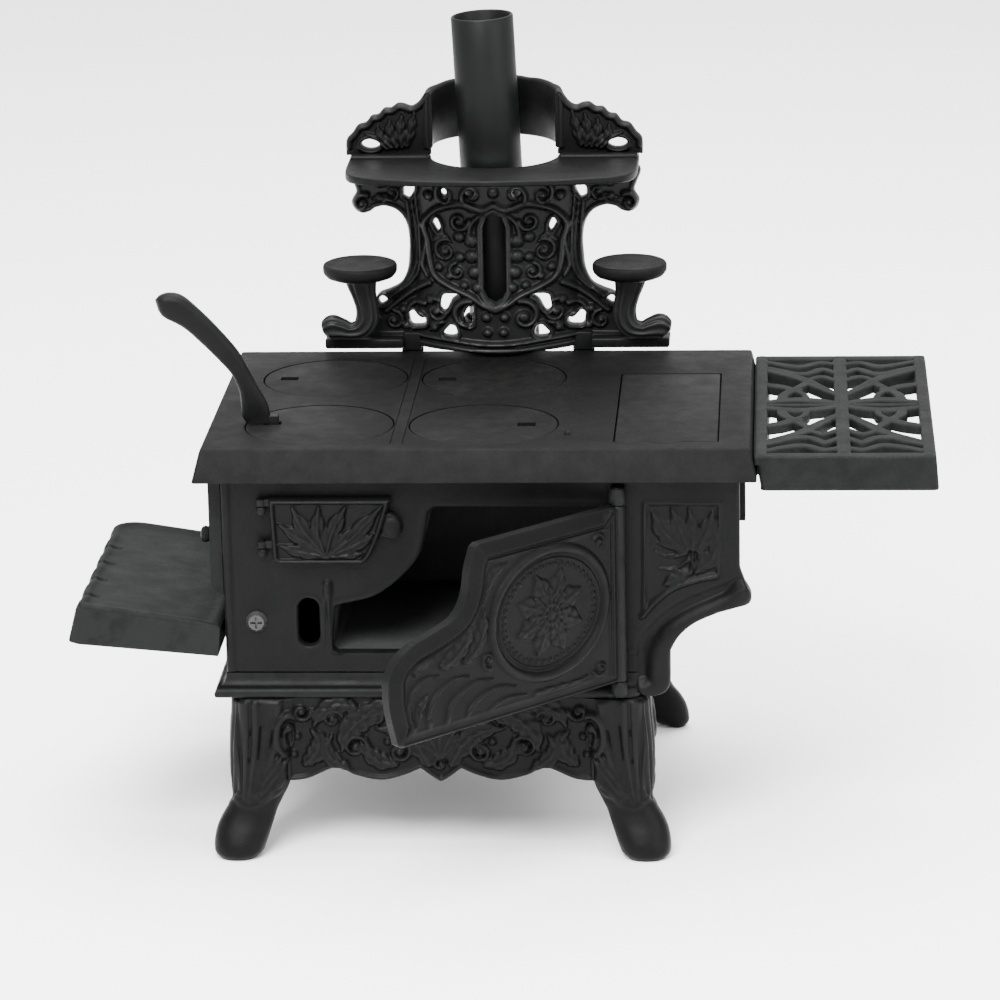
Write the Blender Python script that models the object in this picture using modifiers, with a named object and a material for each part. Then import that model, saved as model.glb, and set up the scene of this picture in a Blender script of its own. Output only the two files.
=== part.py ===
"""Miniature cast-iron cook stove: a hollow stove body on a base with four legs, a hob with
lift-out lids, hinged doors, two side shelves, a tall back with a warming shelf, and a stovepipe.

Lengths are millimetres, turned into metres by MM when an object is made. Positions are given
in the hob frame: X from the hob's left edge, Y from its front edge, Z from the floor.
"""
import math

import bmesh
import bpy
from mathutils import Matrix, Vector

MM = 0.001

# ---------------------------------------------------------------- driving dimensions (mm)
ORIGIN_X, ORIGIN_Y = 103.1, 43.1     # the part's origin in the hob frame, on the floor
GAP = 0.3                            # clearance between touching castings

HOB_W, HOB_D, HOB_Z = 190.5, 134.5, 149.0
RIM_DROP, RIM_FRONT, RIM_SIDE = 10.8, 5.4, 2.7
LID_R, LID_T, LEDGE_T = 26.1, 3.0, 1.9
PLATE_T = LID_T + GAP + LEDGE_T
LID_X = (38.9, 96.9)
LID_Y = (32.0, 94.9)

RESERVOIR = ((143.6, 9.6), (179.4, 99.6))   # the reservoir lid's corners

BODY_L, BODY_R = 6.3, 187.0          # outer faces of the side walls
PANEL_Y, PANEL_T = 3.25, 3.5         # front panel: front face and thickness
BACK_Y = 127.0
WALL_T = 3.0
WALL_TOP = HOB_Z - PLATE_T - GAP
BASE_TOP, BASE_BOTTOM = 66.2, 58.3
BASE_L, BASE_R = 2.1, 162.6
WALL_R, BASE_SIDE = 182.4, 158.6     # the right wall and the base's side, set in from the front
APRON_IN = 12.0                      # side aprons, in from the body's left side
REAR_SPLAY = 4.0                     # how much further out the rear feet stand

DOOR_HINGE = (144.8, -1.85)          # oven door hinge axis (x, y)
DOOR_ANGLE = 44.5                    # opening angle at rest, in degrees
DOOR_T, DOOR_BACK = 5.4, 2.6         # slab thickness; its back plane behind the axis
DOOR_TOP, DOOR_BOTTOM = 129.4, 65.5

FIRE_HINGE = (20.8, 0.8)
FEED_HINGE = (3.3, 93.5)

BACK_X = 96.0                        # centre line of the splash back and what it carries
SPLASH_Y, SPLASH_T = 134.8, 3.5
SPLASH_SCREW_Z = 141.6
BOW_HALF, BOW_DEPTH = 30.0, 12.0
SHELF_Z, SHELF_T = 223.0, 3.2

PIPE_X, PIPE_Y, PIPE_R = 97.0, 141.5, 11.5
PIPE_BOTTOM, PIPE_TOP, PIPE_LEAN = 151.5, 274.5, 2.4

LEG_X, LEG_Y = 81.3, 66.6            # the legs are mirrored about these planes

TRAY_TONGUES, TRAY_TILT = (24.0, 72.0), 5.4     # places along Y; tilt in degrees
KNOB_Z = 113.2                                    # the end door's knob
GRILLE_TONGUES = (30.0, 104.0)
FRONT_SCREW = (17.6, 85.7)                      # (x, z) of the screw seen on the front

PARTS = bpy.data.collections.new("miniature_cook_stove")
CUTTERS = bpy.data.collections.new("cutters")


# ---------------------------------------------------------------- helpers
def at(x, y, z):
    """A point of the hob frame, in the part's frame and in metres."""
    return Vector(((x - ORIGIN_X) * MM, (y - ORIGIN_Y) * MM, z * MM))


def clear_scene():
    for obj in list(bpy.data.objects):
        bpy.data.objects.remove(obj, do_unlink=True)
    bpy.context.scene.collection.children.link(PARTS)
    bpy.context.scene.collection.children.link(CUTTERS)


def cast_iron(name, shade, roughness):
    material = bpy.data.materials.new(name)
    material.use_nodes = True
    shader = material.node_tree.nodes["Principled BSDF"]
    shader.inputs["Base Color"].default_value = (shade * 0.96, shade, shade * 0.99, 1.0)
    shader.inputs["Roughness"].default_value = roughness
    shader.inputs["Metallic"].default_value = 0.25
    return material


def link(name, mesh, origin=None, cutter=False):
    """Makes an object of a mesh given in the hob frame (mm), with its origin at a point of it."""
    origin = Vector(origin) if origin else Vector((ORIGIN_X, ORIGIN_Y, 0.0))
    mesh.transform(Matrix.Scale(MM, 4) @ Matrix.Translation(-origin))
    obj = bpy.data.objects.new(name, mesh)
    obj.location = at(*origin)
    if cutter:
        obj.hide_render = True
        obj.display_type = "WIRE"
        CUTTERS.objects.link(obj)
    else:
        PARTS.objects.link(obj)
    return obj


def mesh_from(bm, name="shape"):
    mesh = bpy.data.meshes.new(name)
    bmesh.ops.recalc_face_normals(bm, faces=bm.faces)
    if bm.calc_volume(signed=True) < 0:
        bmesh.ops.reverse_faces(bm, faces=bm.faces)
    bm.to_mesh(mesh)
    bm.free()
    return mesh


def block(low, high, taper=(0, 0, 0, 0)):
    """A box; taper moves the bottom face's -X, +X, -Y and +Y sides outwards."""
    bm = bmesh.new()
    bmesh.ops.create_cube(bm, size=1.0)
    for vert in bm.verts:
        corner = [high[i] if vert.co[i] > 0 else low[i] for i in range(3)]
        if vert.co.z < 0:
            corner[0] += taper[1] if vert.co.x > 0 else -taper[0]
            corner[1] += taper[3] if vert.co.y > 0 else -taper[2]
        vert.co = corner
    return mesh_from(bm)


def rod(centre, radius, length, axis="Z", segments=24, top_radius=None):
    """A cylinder or cone whose axis runs along X, Y or Z, starting at centre."""
    bm = bmesh.new()
    bmesh.ops.create_cone(bm, cap_ends=True, segments=segments, radius1=radius,
                          radius2=radius if top_radius is None else top_radius, depth=length)
    bmesh.ops.translate(bm, vec=(0, 0, length / 2), verts=bm.verts)
    turn = {"X": Matrix.Rotation(math.pi / 2, 4, "Y"), "Y": Matrix.Rotation(-math.pi / 2, 4, "X"),
            "Z": Matrix()}[axis]
    bmesh.ops.transform(bm, matrix=Matrix.Translation(Vector(centre)) @ turn, verts=bm.verts)
    return mesh_from(bm)


def extrusion(outline, start, depth, axis="Y"):
    """A flat outline given a depth along Y, X or Z: a curve's extruded wall, capped at both ends."""
    curve = bpy.data.curves.new("outline", "CURVE")
    curve.dimensions = "2D"
    curve.fill_mode = "NONE"
    curve.extrude = depth / 2
    spline = curve.splines.new("POLY")
    spline.points.add(len(outline) - 1)
    for point, (a, b) in zip(spline.points, outline):
        point.co = (a, b, 0, 1)
    spline.use_cyclic_u = True
    wall = bpy.data.objects.new("outline", curve)
    CUTTERS.objects.link(wall)
    graph = bpy.context.evaluated_depsgraph_get()
    mesh = bpy.data.meshes.new_from_object(wall.evaluated_get(graph))
    bpy.data.objects.remove(wall, do_unlink=True)
    bm = bmesh.new()
    bm.from_mesh(mesh)
    bpy.data.meshes.remove(mesh)
    bmesh.ops.remove_doubles(bm, verts=bm.verts, dist=0.001)
    bmesh.ops.holes_fill(bm, edges=bm.edges, sides=0)
    middle = start + depth / 2
    for vert in bm.verts:
        a, b, c = vert.co
        vert.co = {"Y": (a, middle + c, b), "X": (middle + c, a, b), "Z": (a, b, middle + c)}[axis]
    return mesh_from(bm)


def smooth(points, steps=4):
    """Points along a Catmull-Rom curve through an open run of points."""
    run = [2 * Vector(points[0]) - Vector(points[1])] + [Vector(p) for p in points]
    run.append(2 * Vector(points[-1]) - Vector(points[-2]))
    line = []
    for a, b, c, d in zip(run, run[1:], run[2:], run[3:]):
        for step in range(steps):
            t = step / steps
            line.append(0.5 * (2 * b + (c - a) * t + (2 * a - 5 * b + 4 * c - d) * t ** 2
                               + (3 * b - a - 3 * c + d) * t ** 3))
    line.append(run[-2])
    return [tuple(p) for p in line]


def arc(centre, radius, start, end, steps):
    """Points on a circular arc between two angles in degrees."""
    angles = [math.radians(start + (end - start) * i / steps) for i in range(steps + 1)]
    return [(centre[0] + radius * math.cos(a), centre[1] + radius * math.sin(a)) for a in angles]


def combine(obj, meshes, operation):
    """Joins meshes to an object, or cuts them from it."""
    origin = obj.location / MM + Vector((ORIGIN_X, ORIGIN_Y, 0))
    for index, mesh in enumerate(meshes):
        tool = link(f"{obj.name}.{operation.lower()}.{index}", mesh, origin, cutter=True)
        modifier = obj.modifiers.new(operation.title(), "BOOLEAN")
        modifier.operation = operation
        modifier.object = tool
    return obj


def round_edges(obj, width, segments=2):
    modifier = obj.modifiers.new("Round edges", "BEVEL")
    modifier.width = width * MM
    modifier.segments = segments
    modifier.limit_method = "ANGLE"
    modifier.angle_limit = math.radians(40)
    return obj


def finish(obj, material, smooth_angle=35):
    obj.data.materials.clear()
    obj.data.materials.append(material)
    if smooth_angle:
        obj.data.shade_smooth()
        obj.data.set_sharp_from_angle(angle=math.radians(smooth_angle))
    return obj


# ---------------------------------------------------------------- hob
def lid_centres():
    return {"front_left": (LID_X[0], LID_Y[0]), "front_right": (LID_X[1], LID_Y[0]),
            "back_left": (LID_X[0], LID_Y[1]), "back_right": (LID_X[1], LID_Y[1])}


def flue_boss():
    """The rounded lug behind the hob that carries the flue collar."""
    half = 16.5
    outline = [(PIPE_X - half, HOB_D - 2.0)] + arc((PIPE_X, PIPE_Y), half, 180, 0, 16)
    outline.append((PIPE_X + half, HOB_D - 2.0))
    return extrusion(outline, HOB_Z - 5.0, 5.0, "Z")


def top_plate(iron):
    """The hob: a plate with a sloping rim, stepped holes for the lids and a flue outlet."""
    plate = link("top_plate", block((0, 0, HOB_Z - RIM_DROP), (HOB_W, HOB_D, HOB_Z),
                                    (RIM_SIDE, RIM_SIDE, RIM_FRONT, 0)))
    inside = block((3.0, 2.9, HOB_Z - RIM_DROP - 1), (HOB_W - 3.0, HOB_D - 3.0, HOB_Z - PLATE_T),
                   (2.4, 2.4, 5.4, 0))
    combine(plate, [flue_boss()], "UNION")
    cuts = [inside, rod((PIPE_X, PIPE_Y, HOB_Z - 8), 9.5, 12, segments=32)]
    for x, y in lid_centres().values():
        cuts.append(rod((x, y, HOB_Z - LID_T - GAP), LID_R + GAP, 5, segments=48))
        cuts.append(rod((x, y, HOB_Z - 6), LID_R - 3.2, 8, segments=48))
    (x0, y0), (x1, y1) = RESERVOIR
    cuts.append(block((x0 - GAP, y0 - GAP, HOB_Z - LID_T - GAP), (x1 + GAP, y1 + GAP, HOB_Z + 2)))
    cuts.append(block((x0 + 2.6, y0 + 2.6, HOB_Z - 6), (x1 - 2.6, y1 - 2.6, HOB_Z + 2)))
    cuts += [rod((x, HOB_D - 4.0, SPLASH_SCREW_Z), 1.25, 8, "Y", 12) for x in splash_screw_places()]
    combine(plate, cuts, "DIFFERENCE")
    finish(plate, iron)


def hob_lids(iron):
    """Round lids, each with a slot for the lifter and a step that rests on the ledge."""
    slots = {"front_left": (-0.65, 0.10), "back_left": (-0.65, 0.0),
             "back_right": (-0.65, -0.05), "front_right": (0.58, 0.0)}
    for place, (x, y) in lid_centres().items():
        lid = link(f"lid_{place}", rod((x, y, HOB_Z - LID_T), LID_R, LID_T, segments=48),
                   (x, y, HOB_Z))
        dx, dy = slots[place]
        sx, sy = x + dx * LID_R, y + dy * LID_R
        combine(lid, [block((sx - 3.2, sy - 2.1, HOB_Z - 5), (sx + 3.2, sy + 2.1, HOB_Z + 2))],
                "DIFFERENCE")
        finish(lid, iron)


def reservoir_lid(iron):
    (x0, y0), (x1, y1) = RESERVOIR
    lid = link("reservoir_lid", block((x0, y0, HOB_Z - LID_T), (x1, y1, HOB_Z)),
               ((x0 + x1) / 2, (y0 + y1) / 2, HOB_Z))
    round_edges(lid, 0.5, 1)
    finish(lid, iron)


def lid_lifter(iron):
    """A flat curved handle whose tongue stands in a lid's slot."""
    back = smooth([(21.5, 149.4), (20.6, 155.8), (15.7, 165.7), (11.1, 174.8), (3.8, 183.9),
                   (-2.8, 190.8), (-8.3, 195.6), (-12.4, 196.7), (-17.0, 195.6), (-19.6, 192.2)], 2)
    front = smooth([(-15.7, 188.0), (-8.2, 184.0), (-1.6, 177.9), (3.9, 172.1), (8.3, 166.8),
                    (11.0, 160.9), (10.5, 157.6), (11.4, 155.1), (11.7, 151.4), (14.6, 149.4)], 2)
    y = LID_Y[0] + 0.10 * LID_R
    lifter = link("lid_lifter", extrusion(back + front, y - 2.0, 4.0), (18, y, 149))
    x = LID_X[0] - 0.65 * LID_R
    round_edges(lifter, 0.6, 1)
    combine(lifter, [block((x - 2.3, y - 1.3, 146.3), (x + 2.3, y + 1.3, 151.0))], "UNION")
    finish(lifter, iron)


# ---------------------------------------------------------------- body
def opening_outline():
    """The oven's opening in the front panel, with its S-shaped left side."""
    curve = smooth([(79.0, 125.3), (76.2, 111.8), (70.1, 103.1), (59.5, 94.9), (45.4, 91.2)], 3)
    return [(80.9, 127.3)] + curve + [(44.2, 75.6), (45.8, 74.3), (138.5, 74.3), (138.5, 127.3)]


def liner_outline():
    curve = smooth([(76.6, 126.5), (73.8, 113.0), (68.2, 105.0), (58.6, 97.4), (43.0, 93.8)], 3)
    return [(78.6, 129.8)] + curve + [(41.7, 75.0), (44.6, 71.8), (141.0, 71.8), (141.0, 129.8)]


def right_profile():
    """The body's right side from the hob down: straight, a roll moulding, then a cove."""
    return ([(BODY_R, WALL_TOP), (BODY_R, 104.6)]
            + smooth([(188.6, 100.0), (190.9, 95.6), (190.2, 92.0), (186.0, 91.0)], 2)
            + smooth([(179.6, 89.3), (171.4, 85.6), (165.8, 80.8), (162.7, 75.4)], 2)
            + [(162.6, BASE_TOP + GAP)])


def wall_profile():
    """The right wall's outer face, set in behind the front casting."""
    return ([(WALL_R, WALL_TOP), (WALL_R, 97.0)]
            + smooth([(180.0, 93.0), (173.0, 88.6), (166.4, 84.6), (161.0, 78.8), (158.6, 72.0)], 2)
            + [(158.4, BASE_TOP + GAP)])


def front_panel(iron):
    """The front casting: oven, firebox and draught openings, and the hinge lugs."""
    outline = right_profile() + [(BODY_L, BASE_TOP + GAP), (BODY_L, WALL_TOP)]
    fire = [(27.0, 112.0), (27.0, 128.4), (61.0, 128.4), (55.6, 112.0)]
    draught = arc((35.9, 90.0), 3.75, 0, 180, 8) + arc((35.9, 80.2), 3.75, 180, 360, 8)
    panel = link("front_panel", extrusion(outline, PANEL_Y, PANEL_T))
    x, y = DOOR_HINGE
    lug = block((x - 2.3, y, 130.0), (x + 2.3, PANEL_Y + 0.8, 134.9))
    lugs = [lug, rod((x, y, 130.0), 2.6, 4.9, segments=20)]
    fx, fy = FIRE_HINGE
    for z in (110.4, 125.6):
        lugs.append(block((fx - 1.4, fy, z), (fx + 1.4, PANEL_Y + 0.8, z + 2.6)))
        lugs.append(rod((fx, fy, z), 2.0, 2.6, segments=16))
    combine(panel, lugs, "UNION")
    holes = [extrusion(hole, PANEL_Y - 1, PANEL_T + 2) for hole in (opening_outline(), fire, draught)]
    holes += [rod((x, y, 128.0), 1.5, 9.0, segments=16),
              rod((FRONT_SCREW[0], PANEL_Y - 1, FRONT_SCREW[1]), 1.9, 6, "Y", 16)]
    holes += [rod((fx, fy, z - 1), 1.3, 5, segments=12) for z in (110.4, 125.6)]
    combine(panel, holes, "DIFFERENCE")
    finish(panel, iron)


def side_walls(iron):
    """The left wall with the feed opening and shelf slots; the right wall bent to its profile."""
    start, depth = PANEL_Y + PANEL_T + GAP, BACK_Y - PANEL_Y - PANEL_T - 2 * GAP
    left = link("left_wall", block((BODY_L, start, BASE_TOP + GAP),
                                   (BODY_L + WALL_T, start + depth, WALL_TOP)))
    x, y = FEED_HINGE
    lugs = []
    for z in (102.0, 130.8):
        lugs.append(block((x, y - 1.8, z), (BODY_L + 1, y + 1.8, z + 5.2)))
        lugs.append(rod((x, y, z), 2.2, 5.2, segments=16))
    combine(left, lugs, "UNION")
    cuts = [block((0, 14.0, 106.0), (12, 82.0, 134.0)), rod((x, y, 100), 1.2, 40, segments=12)]
    cuts += [block((4, c - 6.6, 75.6), (12, c + 6.6, 81.2)) for c in TRAY_TONGUES]
    combine(left, cuts, "DIFFERENCE")
    finish(left, iron)

    outer = wall_profile()
    inner = [(155.4, BASE_TOP + GAP), (155.6, 73.0), (158.6, 80.6), (164.6, 87.0), (171.4, 91.2),
             (177.6, 94.9), (WALL_R - WALL_T, 98.6), (WALL_R - WALL_T, WALL_TOP)]
    right = link("right_wall", extrusion(outer + inner, start, depth))
    combine(right, [block((WALL_R - 1, c - 5, 115.6), (188.8, c + 5, 131.7)) for c in GRILLE_TONGUES],
            "UNION")
    combine(right, [block((177, c - 6.6, 132.1), (192, c + 6.6, 136.4)) for c in GRILLE_TONGUES],
            "DIFFERENCE")
    finish(right, iron)


def back_wall(iron):
    outline = wall_profile() + [(BODY_L, BASE_TOP + GAP), (BODY_L, WALL_TOP)]
    wall = link("back_wall", extrusion(outline, BACK_Y, WALL_T))
    x, z = FRONT_SCREW
    combine(wall, [rod((x, BACK_Y - 1, z), 1.9, 6, "Y", 12)], "DIFFERENCE")
    finish(wall, iron)


def oven(iron):
    """The oven's lining, one ring with the opening's shape, and its back plate."""
    start = PANEL_Y + PANEL_T + GAP
    liner = link("oven_liner", extrusion(liner_outline(), start, 79.0))
    combine(liner, [extrusion(opening_outline(), start - 1, 81.0)], "DIFFERENCE")
    finish(liner, iron)
    back = link("oven_back", extrusion(liner_outline(), start + 79.0 + GAP, 2.4))
    finish(back, iron)


def reservoir_tank(iron):
    tank = link("reservoir_tank", block((144.5, 9.6, 97.6), (178.0, 101.0, WALL_TOP)))
    combine(tank, [block((147.0, 12.1, 100.1), (175.6, 98.5, WALL_TOP + 5))], "DIFFERENCE")
    finish(tank, iron)


# ---------------------------------------------------------------- base and legs
def leg_sections():
    """Height, centre and half-width of the front right leg, from its top to the floor."""
    return [(57.9, 141.2, 11.2, 13.9), (46.0, 143.6, 10.0, 12.2), (32.0, 146.6, 7.4, 9.2),
            (20.5, 148.2, 5.2, 6.8), (12.0, 151.2, 2.0, 8.4), (5.0, 153.6, -0.6, 8.9),
            (1.2, 153.8, -0.8, 8.0), (0.0, 153.8, -0.8, 6.6)]


def apron(low, high):
    """A scalloped apron from one leg to the next, as an outline along the base's side."""
    middle, half = (low + high) / 2, (high - low) / 2 + 9.0
    wave = smooth([(1.0, 27.2), (0.69, 32.0), (0.40, 27.4), (0.13, 31.8)], 3) + [(0.0, 26.6)]
    left = [(low, BASE_BOTTOM + 1.0), (low - 3.6, 46.0), (low - 9.0, 33.0)]
    left += [(middle - half * t, z) for t, z in wave]
    return left + [(2 * middle - a, z) for a, z in left[-2::-1]]


def base_frame(iron):
    """The base: a coved tray under the body, with a scalloped apron on each side."""
    y0, y1 = -0.7, 133.9
    base = link("base_frame", block((BASE_L, y0, BASE_BOTTOM), (BASE_SIDE, y1, 62.0)))
    slope = block((6.0, PANEL_Y - 0.2, 62.0 - GAP), (BASE_SIDE - 0.4, 130.2, BASE_TOP),
                  (2.2, 0.4, 2.2, 2.0))
    front = block((BASE_SIDE - 4.0, y0, BASE_BOTTOM), (BASE_R, 8.0, 62.0))
    corner = block((BASE_SIDE - 4.0, PANEL_Y - 0.2, 62.0 - GAP), (BASE_R - 0.4, 7.6, BASE_TOP),
                   (0, 0.4, 2.2, 0.4))
    right = 2 * LEG_X - APRON_IN
    aprons = [extrusion(apron(35.2, 127.4), y0 + 0.3, 3.7),
              extrusion(apron(35.2, 127.4), y1 - 4.0, 3.7),
              extrusion(apron(26.0, 107.2), APRON_IN, 3.7, "X"),
              extrusion(apron(26.0, 107.2), right - 3.7, 3.7, "X")]
    x, y = DOOR_HINGE
    lug = [block((x - 2.4, y, 60.6), (x + 2.4, 1.0, 65.2)), rod((x, y, 60.6), 2.6, 4.6, segments=20)]
    combine(base, [slope, front, corner] + aprons + lug, "UNION")
    cuts = [block((9.6, 7.0, 61.3), (BASE_SIDE - 4.0, 126.4, 80.0)),
            rod((x, y, 59.0), 1.5, 8.0, segments=16)]
    cuts += [rod((sx, sy, 50.0), 2.0, 20.0, segments=12) for sx, sy in leg_places().values()]
    combine(base, cuts, "DIFFERENCE")
    finish(base, iron)


def leg_places():
    x, y = 142.2, 16.0
    left, rear = 2 * LEG_X - x, 2 * LEG_Y - y
    return {"front_left": (left, y), "front_right": (x, y),
            "back_left": (left, rear), "back_right": (x, rear)}


def leg(name, mirror_x, mirror_y, iron):
    """A curved corner leg, lofted through rounded sections down to a paddle foot."""
    bm = bmesh.new()
    rings = []
    for z, cx, cy, half in leg_sections():
        ring = []
        for i in range(16):
            angle = 2 * math.pi * (i + 0.5) / 16
            bulge = half / max(abs(math.cos(angle)), abs(math.sin(angle))) ** 0.55
            x, y = cx + bulge * 0.93 * math.cos(angle), cy + bulge * 0.93 * math.sin(angle)
            splay = REAR_SPLAY * (1 - z / BASE_BOTTOM) if mirror_y else 0.0
            x, y = x + splay, y - splay
            x = 2 * LEG_X - x if mirror_x else x
            y = 2 * LEG_Y - y if mirror_y else y
            ring.append(bm.verts.new((x, y, z)))
        rings.append(ring)
    for upper, lower in zip(rings, rings[1:]):
        for i in range(16):
            j = (i + 1) % 16
            bm.faces.new((upper[i], upper[j], lower[j], lower[i]))
    bm.faces.new(rings[0])
    bm.faces.new(rings[-1])
    place = leg_places()[name]
    obj = link(f"leg_{name}", mesh_from(bm))
    combine(obj, [rod((*place, 47.5), 1.6 + GAP, 14, segments=12)], "DIFFERENCE")
    finish(obj, iron, 60)


# ---------------------------------------------------------------- doors
def oven_door_outline():
    edge = smooth([(78.6, 128.0), (76.4, 121.4), (75.0, 113.8), (72.4, 108.5), (68.2, 105.0),
                   (59.9, 102.5), (51.7, 100.5), (45.9, 97.9), (42.2, 94.6), (40.2, 91.0),
                   (39.6, 86.7), (40.2, 78.7), (43.2, 66.6)], 2)
    x = DOOR_HINGE[0]
    return [(x - 1.0, DOOR_TOP), (79.7, DOOR_TOP)] + edge + [(44.6, DOOR_BOTTOM), (x - 1.0, DOOR_BOTTOM)]


def oven_door(iron):
    """The oven door: a slab with bevelled edges and a barrel on its hinge axis, standing open."""
    x, y = DOOR_HINGE
    front = y + DOOR_BACK - DOOR_T
    door = link("oven_door", extrusion(oven_door_outline(), front, DOOR_T), (x, y, 0))
    bevel_front(door, front - y, 2.0)
    combine(door, [rod((x, y, DOOR_BOTTOM), 2.6, DOOR_TOP - DOOR_BOTTOM, segments=20)], "UNION")
    ends = [rod((x, y, DOOR_TOP - 6.0), 1.5, 8, segments=16), rod((x, y, 63), 1.5, 8.5, segments=16)]
    combine(door, ends, "DIFFERENCE")
    hinge = bpy.data.objects.new("oven_door_axis", None)
    hinge.location = at(x, y, 0)
    PARTS.objects.link(hinge)
    for obj in [door] + [m.object for m in door.modifiers]:
        obj.parent = hinge
        obj.location = (0, 0, 0)
    hinge.rotation_euler.z = math.radians(DOOR_ANGLE)
    finish(door, iron)


def bevel_front(obj, front, width):
    """Chamfers the edges of a slab's front face, given its local Y."""
    bm = bmesh.new()
    bm.from_mesh(obj.data)
    near = [e for e in bm.edges if all(abs(v.co.y - front * MM) < 1e-5 for v in e.verts)
            and len(e.link_faces) == 2 and e.calc_face_angle(0) > 1.0]
    bmesh.ops.bevel(bm, geom=near, offset=width * MM, segments=1, affect="EDGES",
                    clamp_overlap=True)
    bm.to_mesh(obj.data)
    bm.free()


def oven_door_pins(steel):
    x, y = DOOR_HINGE
    for name, low, high in (("top", DOOR_TOP - 5.5, 135.6), ("bottom", 60.2, DOOR_BOTTOM + 5.4)):
        pin = link(f"oven_door_pin_{name}", rod((x, y, low), 1.2, high - low, segments=16), (x, y, low))
        finish(pin, steel)


def firebox_door(iron):
    """The firebox door: a slanted leaf-shaped panel with a finger tab and cast hinge pintles."""
    x, y = FIRE_HINGE
    edge = smooth([(66.5, 131.4), (62.6, 119.5), (58.8, 110.9), (56.1, 107.5)], 3)
    outline = [(23.4, 131.4)] + edge + [(25.8, 107.6), (24.2, 109.4)]
    door = link("firebox_door", extrusion(outline, y - 2.0, 4.0), (x, y, 0))
    bevel_front(door, -2.0, 1.0)
    solids = [block((60.0, y - 0.9, 117.2), (69.8, y + 1.6, 124.4))]
    for z in (113.3, 128.5):
        solids.append(block((x, y - 1.2, z), (25.0, y + 1.2, z + 2.7)))
        solids.append(rod((x, y, z), 2.0, 2.7, segments=16))
        solids.append(rod((x, y, z - 2.4), 1.0, 3.0, segments=12))
    combine(door, solids, "UNION")
    finish(door, iron)


def feed_door(iron, steel):
    """The stove's end door on the left wall, with a pin and a round knob."""
    x, y = FEED_HINGE
    outline = [(1.6, 137.4), (1.6, 97.8), (4.6, 94.6), (5.9, 94.6), (5.9, 137.4)]
    door = link("feed_door", extrusion(outline, 6.0, y - 6.0), (x, y, 0))
    combine(door, [rod((x, y, 101.0), 2.2, 36.4, segments=16)], "UNION")
    cuts = [block((-2, y - 4.2, z0), (8, y + 4, z1)) for z0, z1 in ((94.0, 107.6), (130.4, 139.0))]
    cuts += [rod((x, y, 100), 1.2, 40, segments=12), rod((-1, 18.0, KNOB_Z), 1.5, 10, "X", 12)]
    combine(door, cuts, "DIFFERENCE")
    finish(door, iron)
    pin = link("feed_door_pin", rod((x, y, 101.6), 0.9, 35.0, segments=12), (x, y, 101.6))
    finish(pin, steel)

    profile = [(-2.8, 0.0), (-2.8, 1.6), (-2.3, 2.6), (-1.2, 3.0), (0.0, 2.7), (0.9, 1.9),
               (1.3, 1.9), (1.3, 1.2), (5.6, 1.2), (5.6, 0.0)]
    knob = link("feed_door_knob", turned(profile, 18.0, KNOB_Z), (x, 18.0, KNOB_Z))
    finish(knob, iron)


def turned(profile, y, z, segments=20):
    """A shape turned about an axis along X, from points (x, radius) that start and end on it."""
    bm = bmesh.new()
    points = [bm.verts.new((x, y, z + r)) for x, r in profile]
    edges = [bm.edges.new(pair) for pair in zip(points, points[1:])]
    bmesh.ops.spin(bm, geom=points + edges, axis=(1, 0, 0), cent=(0, y, z),
                   angle=2 * math.pi, steps=segments, use_duplicate=False)
    bmesh.ops.remove_doubles(bm, verts=bm.verts, dist=0.001)
    return mesh_from(bm)


# ---------------------------------------------------------------- side shelves
def ash_shelf(iron):
    """The left shelf: a skirted tray with a shallow dish, hooked into the wall by two tongues."""
    x1, x0, depth = 4.9, -48.5, 105.0
    corner = 9.0
    outline = ([(x1, 0.6), (x1, depth)] + arc((x0 + corner, depth - corner), corner, 90, 180, 5)
               + [(x0, 24.0), (x0 + 0.9, 16.0), (x0, 8.0), (x0 + 0.9, 0.6)])
    body = extrusion(outline, 73.4, 11.8, "Z")
    for vert in body.vertices:
        if vert.co.z > 80.0:
            vert.co.x = x1 + (vert.co.x - x1) * 0.955
    under = block((x0 + 3.4, 3.6, 70.0), (x1 - 2.6, depth - 3.4, 82.2))
    dish = block((x0 + 5.0, 5.2, 84.4), (x1 - 4.0, depth - 5.0, 90.0))
    for mesh in (body, under, dish):
        for vert in mesh.vertices:
            if vert.co.z > 80.0:
                vert.co.z += 3.2 * (x1 - vert.co.x) / (x1 - x0) - 0.7
    tray = link("ash_shelf", body, (x1, 0, 85.2))
    combine(tray, [under, dish], "DIFFERENCE")
    tongues = [block((x1 - 2.0, c - 6.0, 77.0), (11.6, c + 6.0, 80.0)) for c in TRAY_TONGUES]
    tray.rotation_euler.y = math.radians(TRAY_TILT)
    tilt(tray)
    combine(tray, tongues, "UNION")
    finish(tray, iron)


def tilt(obj):
    """Turns an object's cutters with it about its own origin."""
    for modifier in obj.modifiers:
        modifier.object.rotation_euler = obj.rotation_euler


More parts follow.
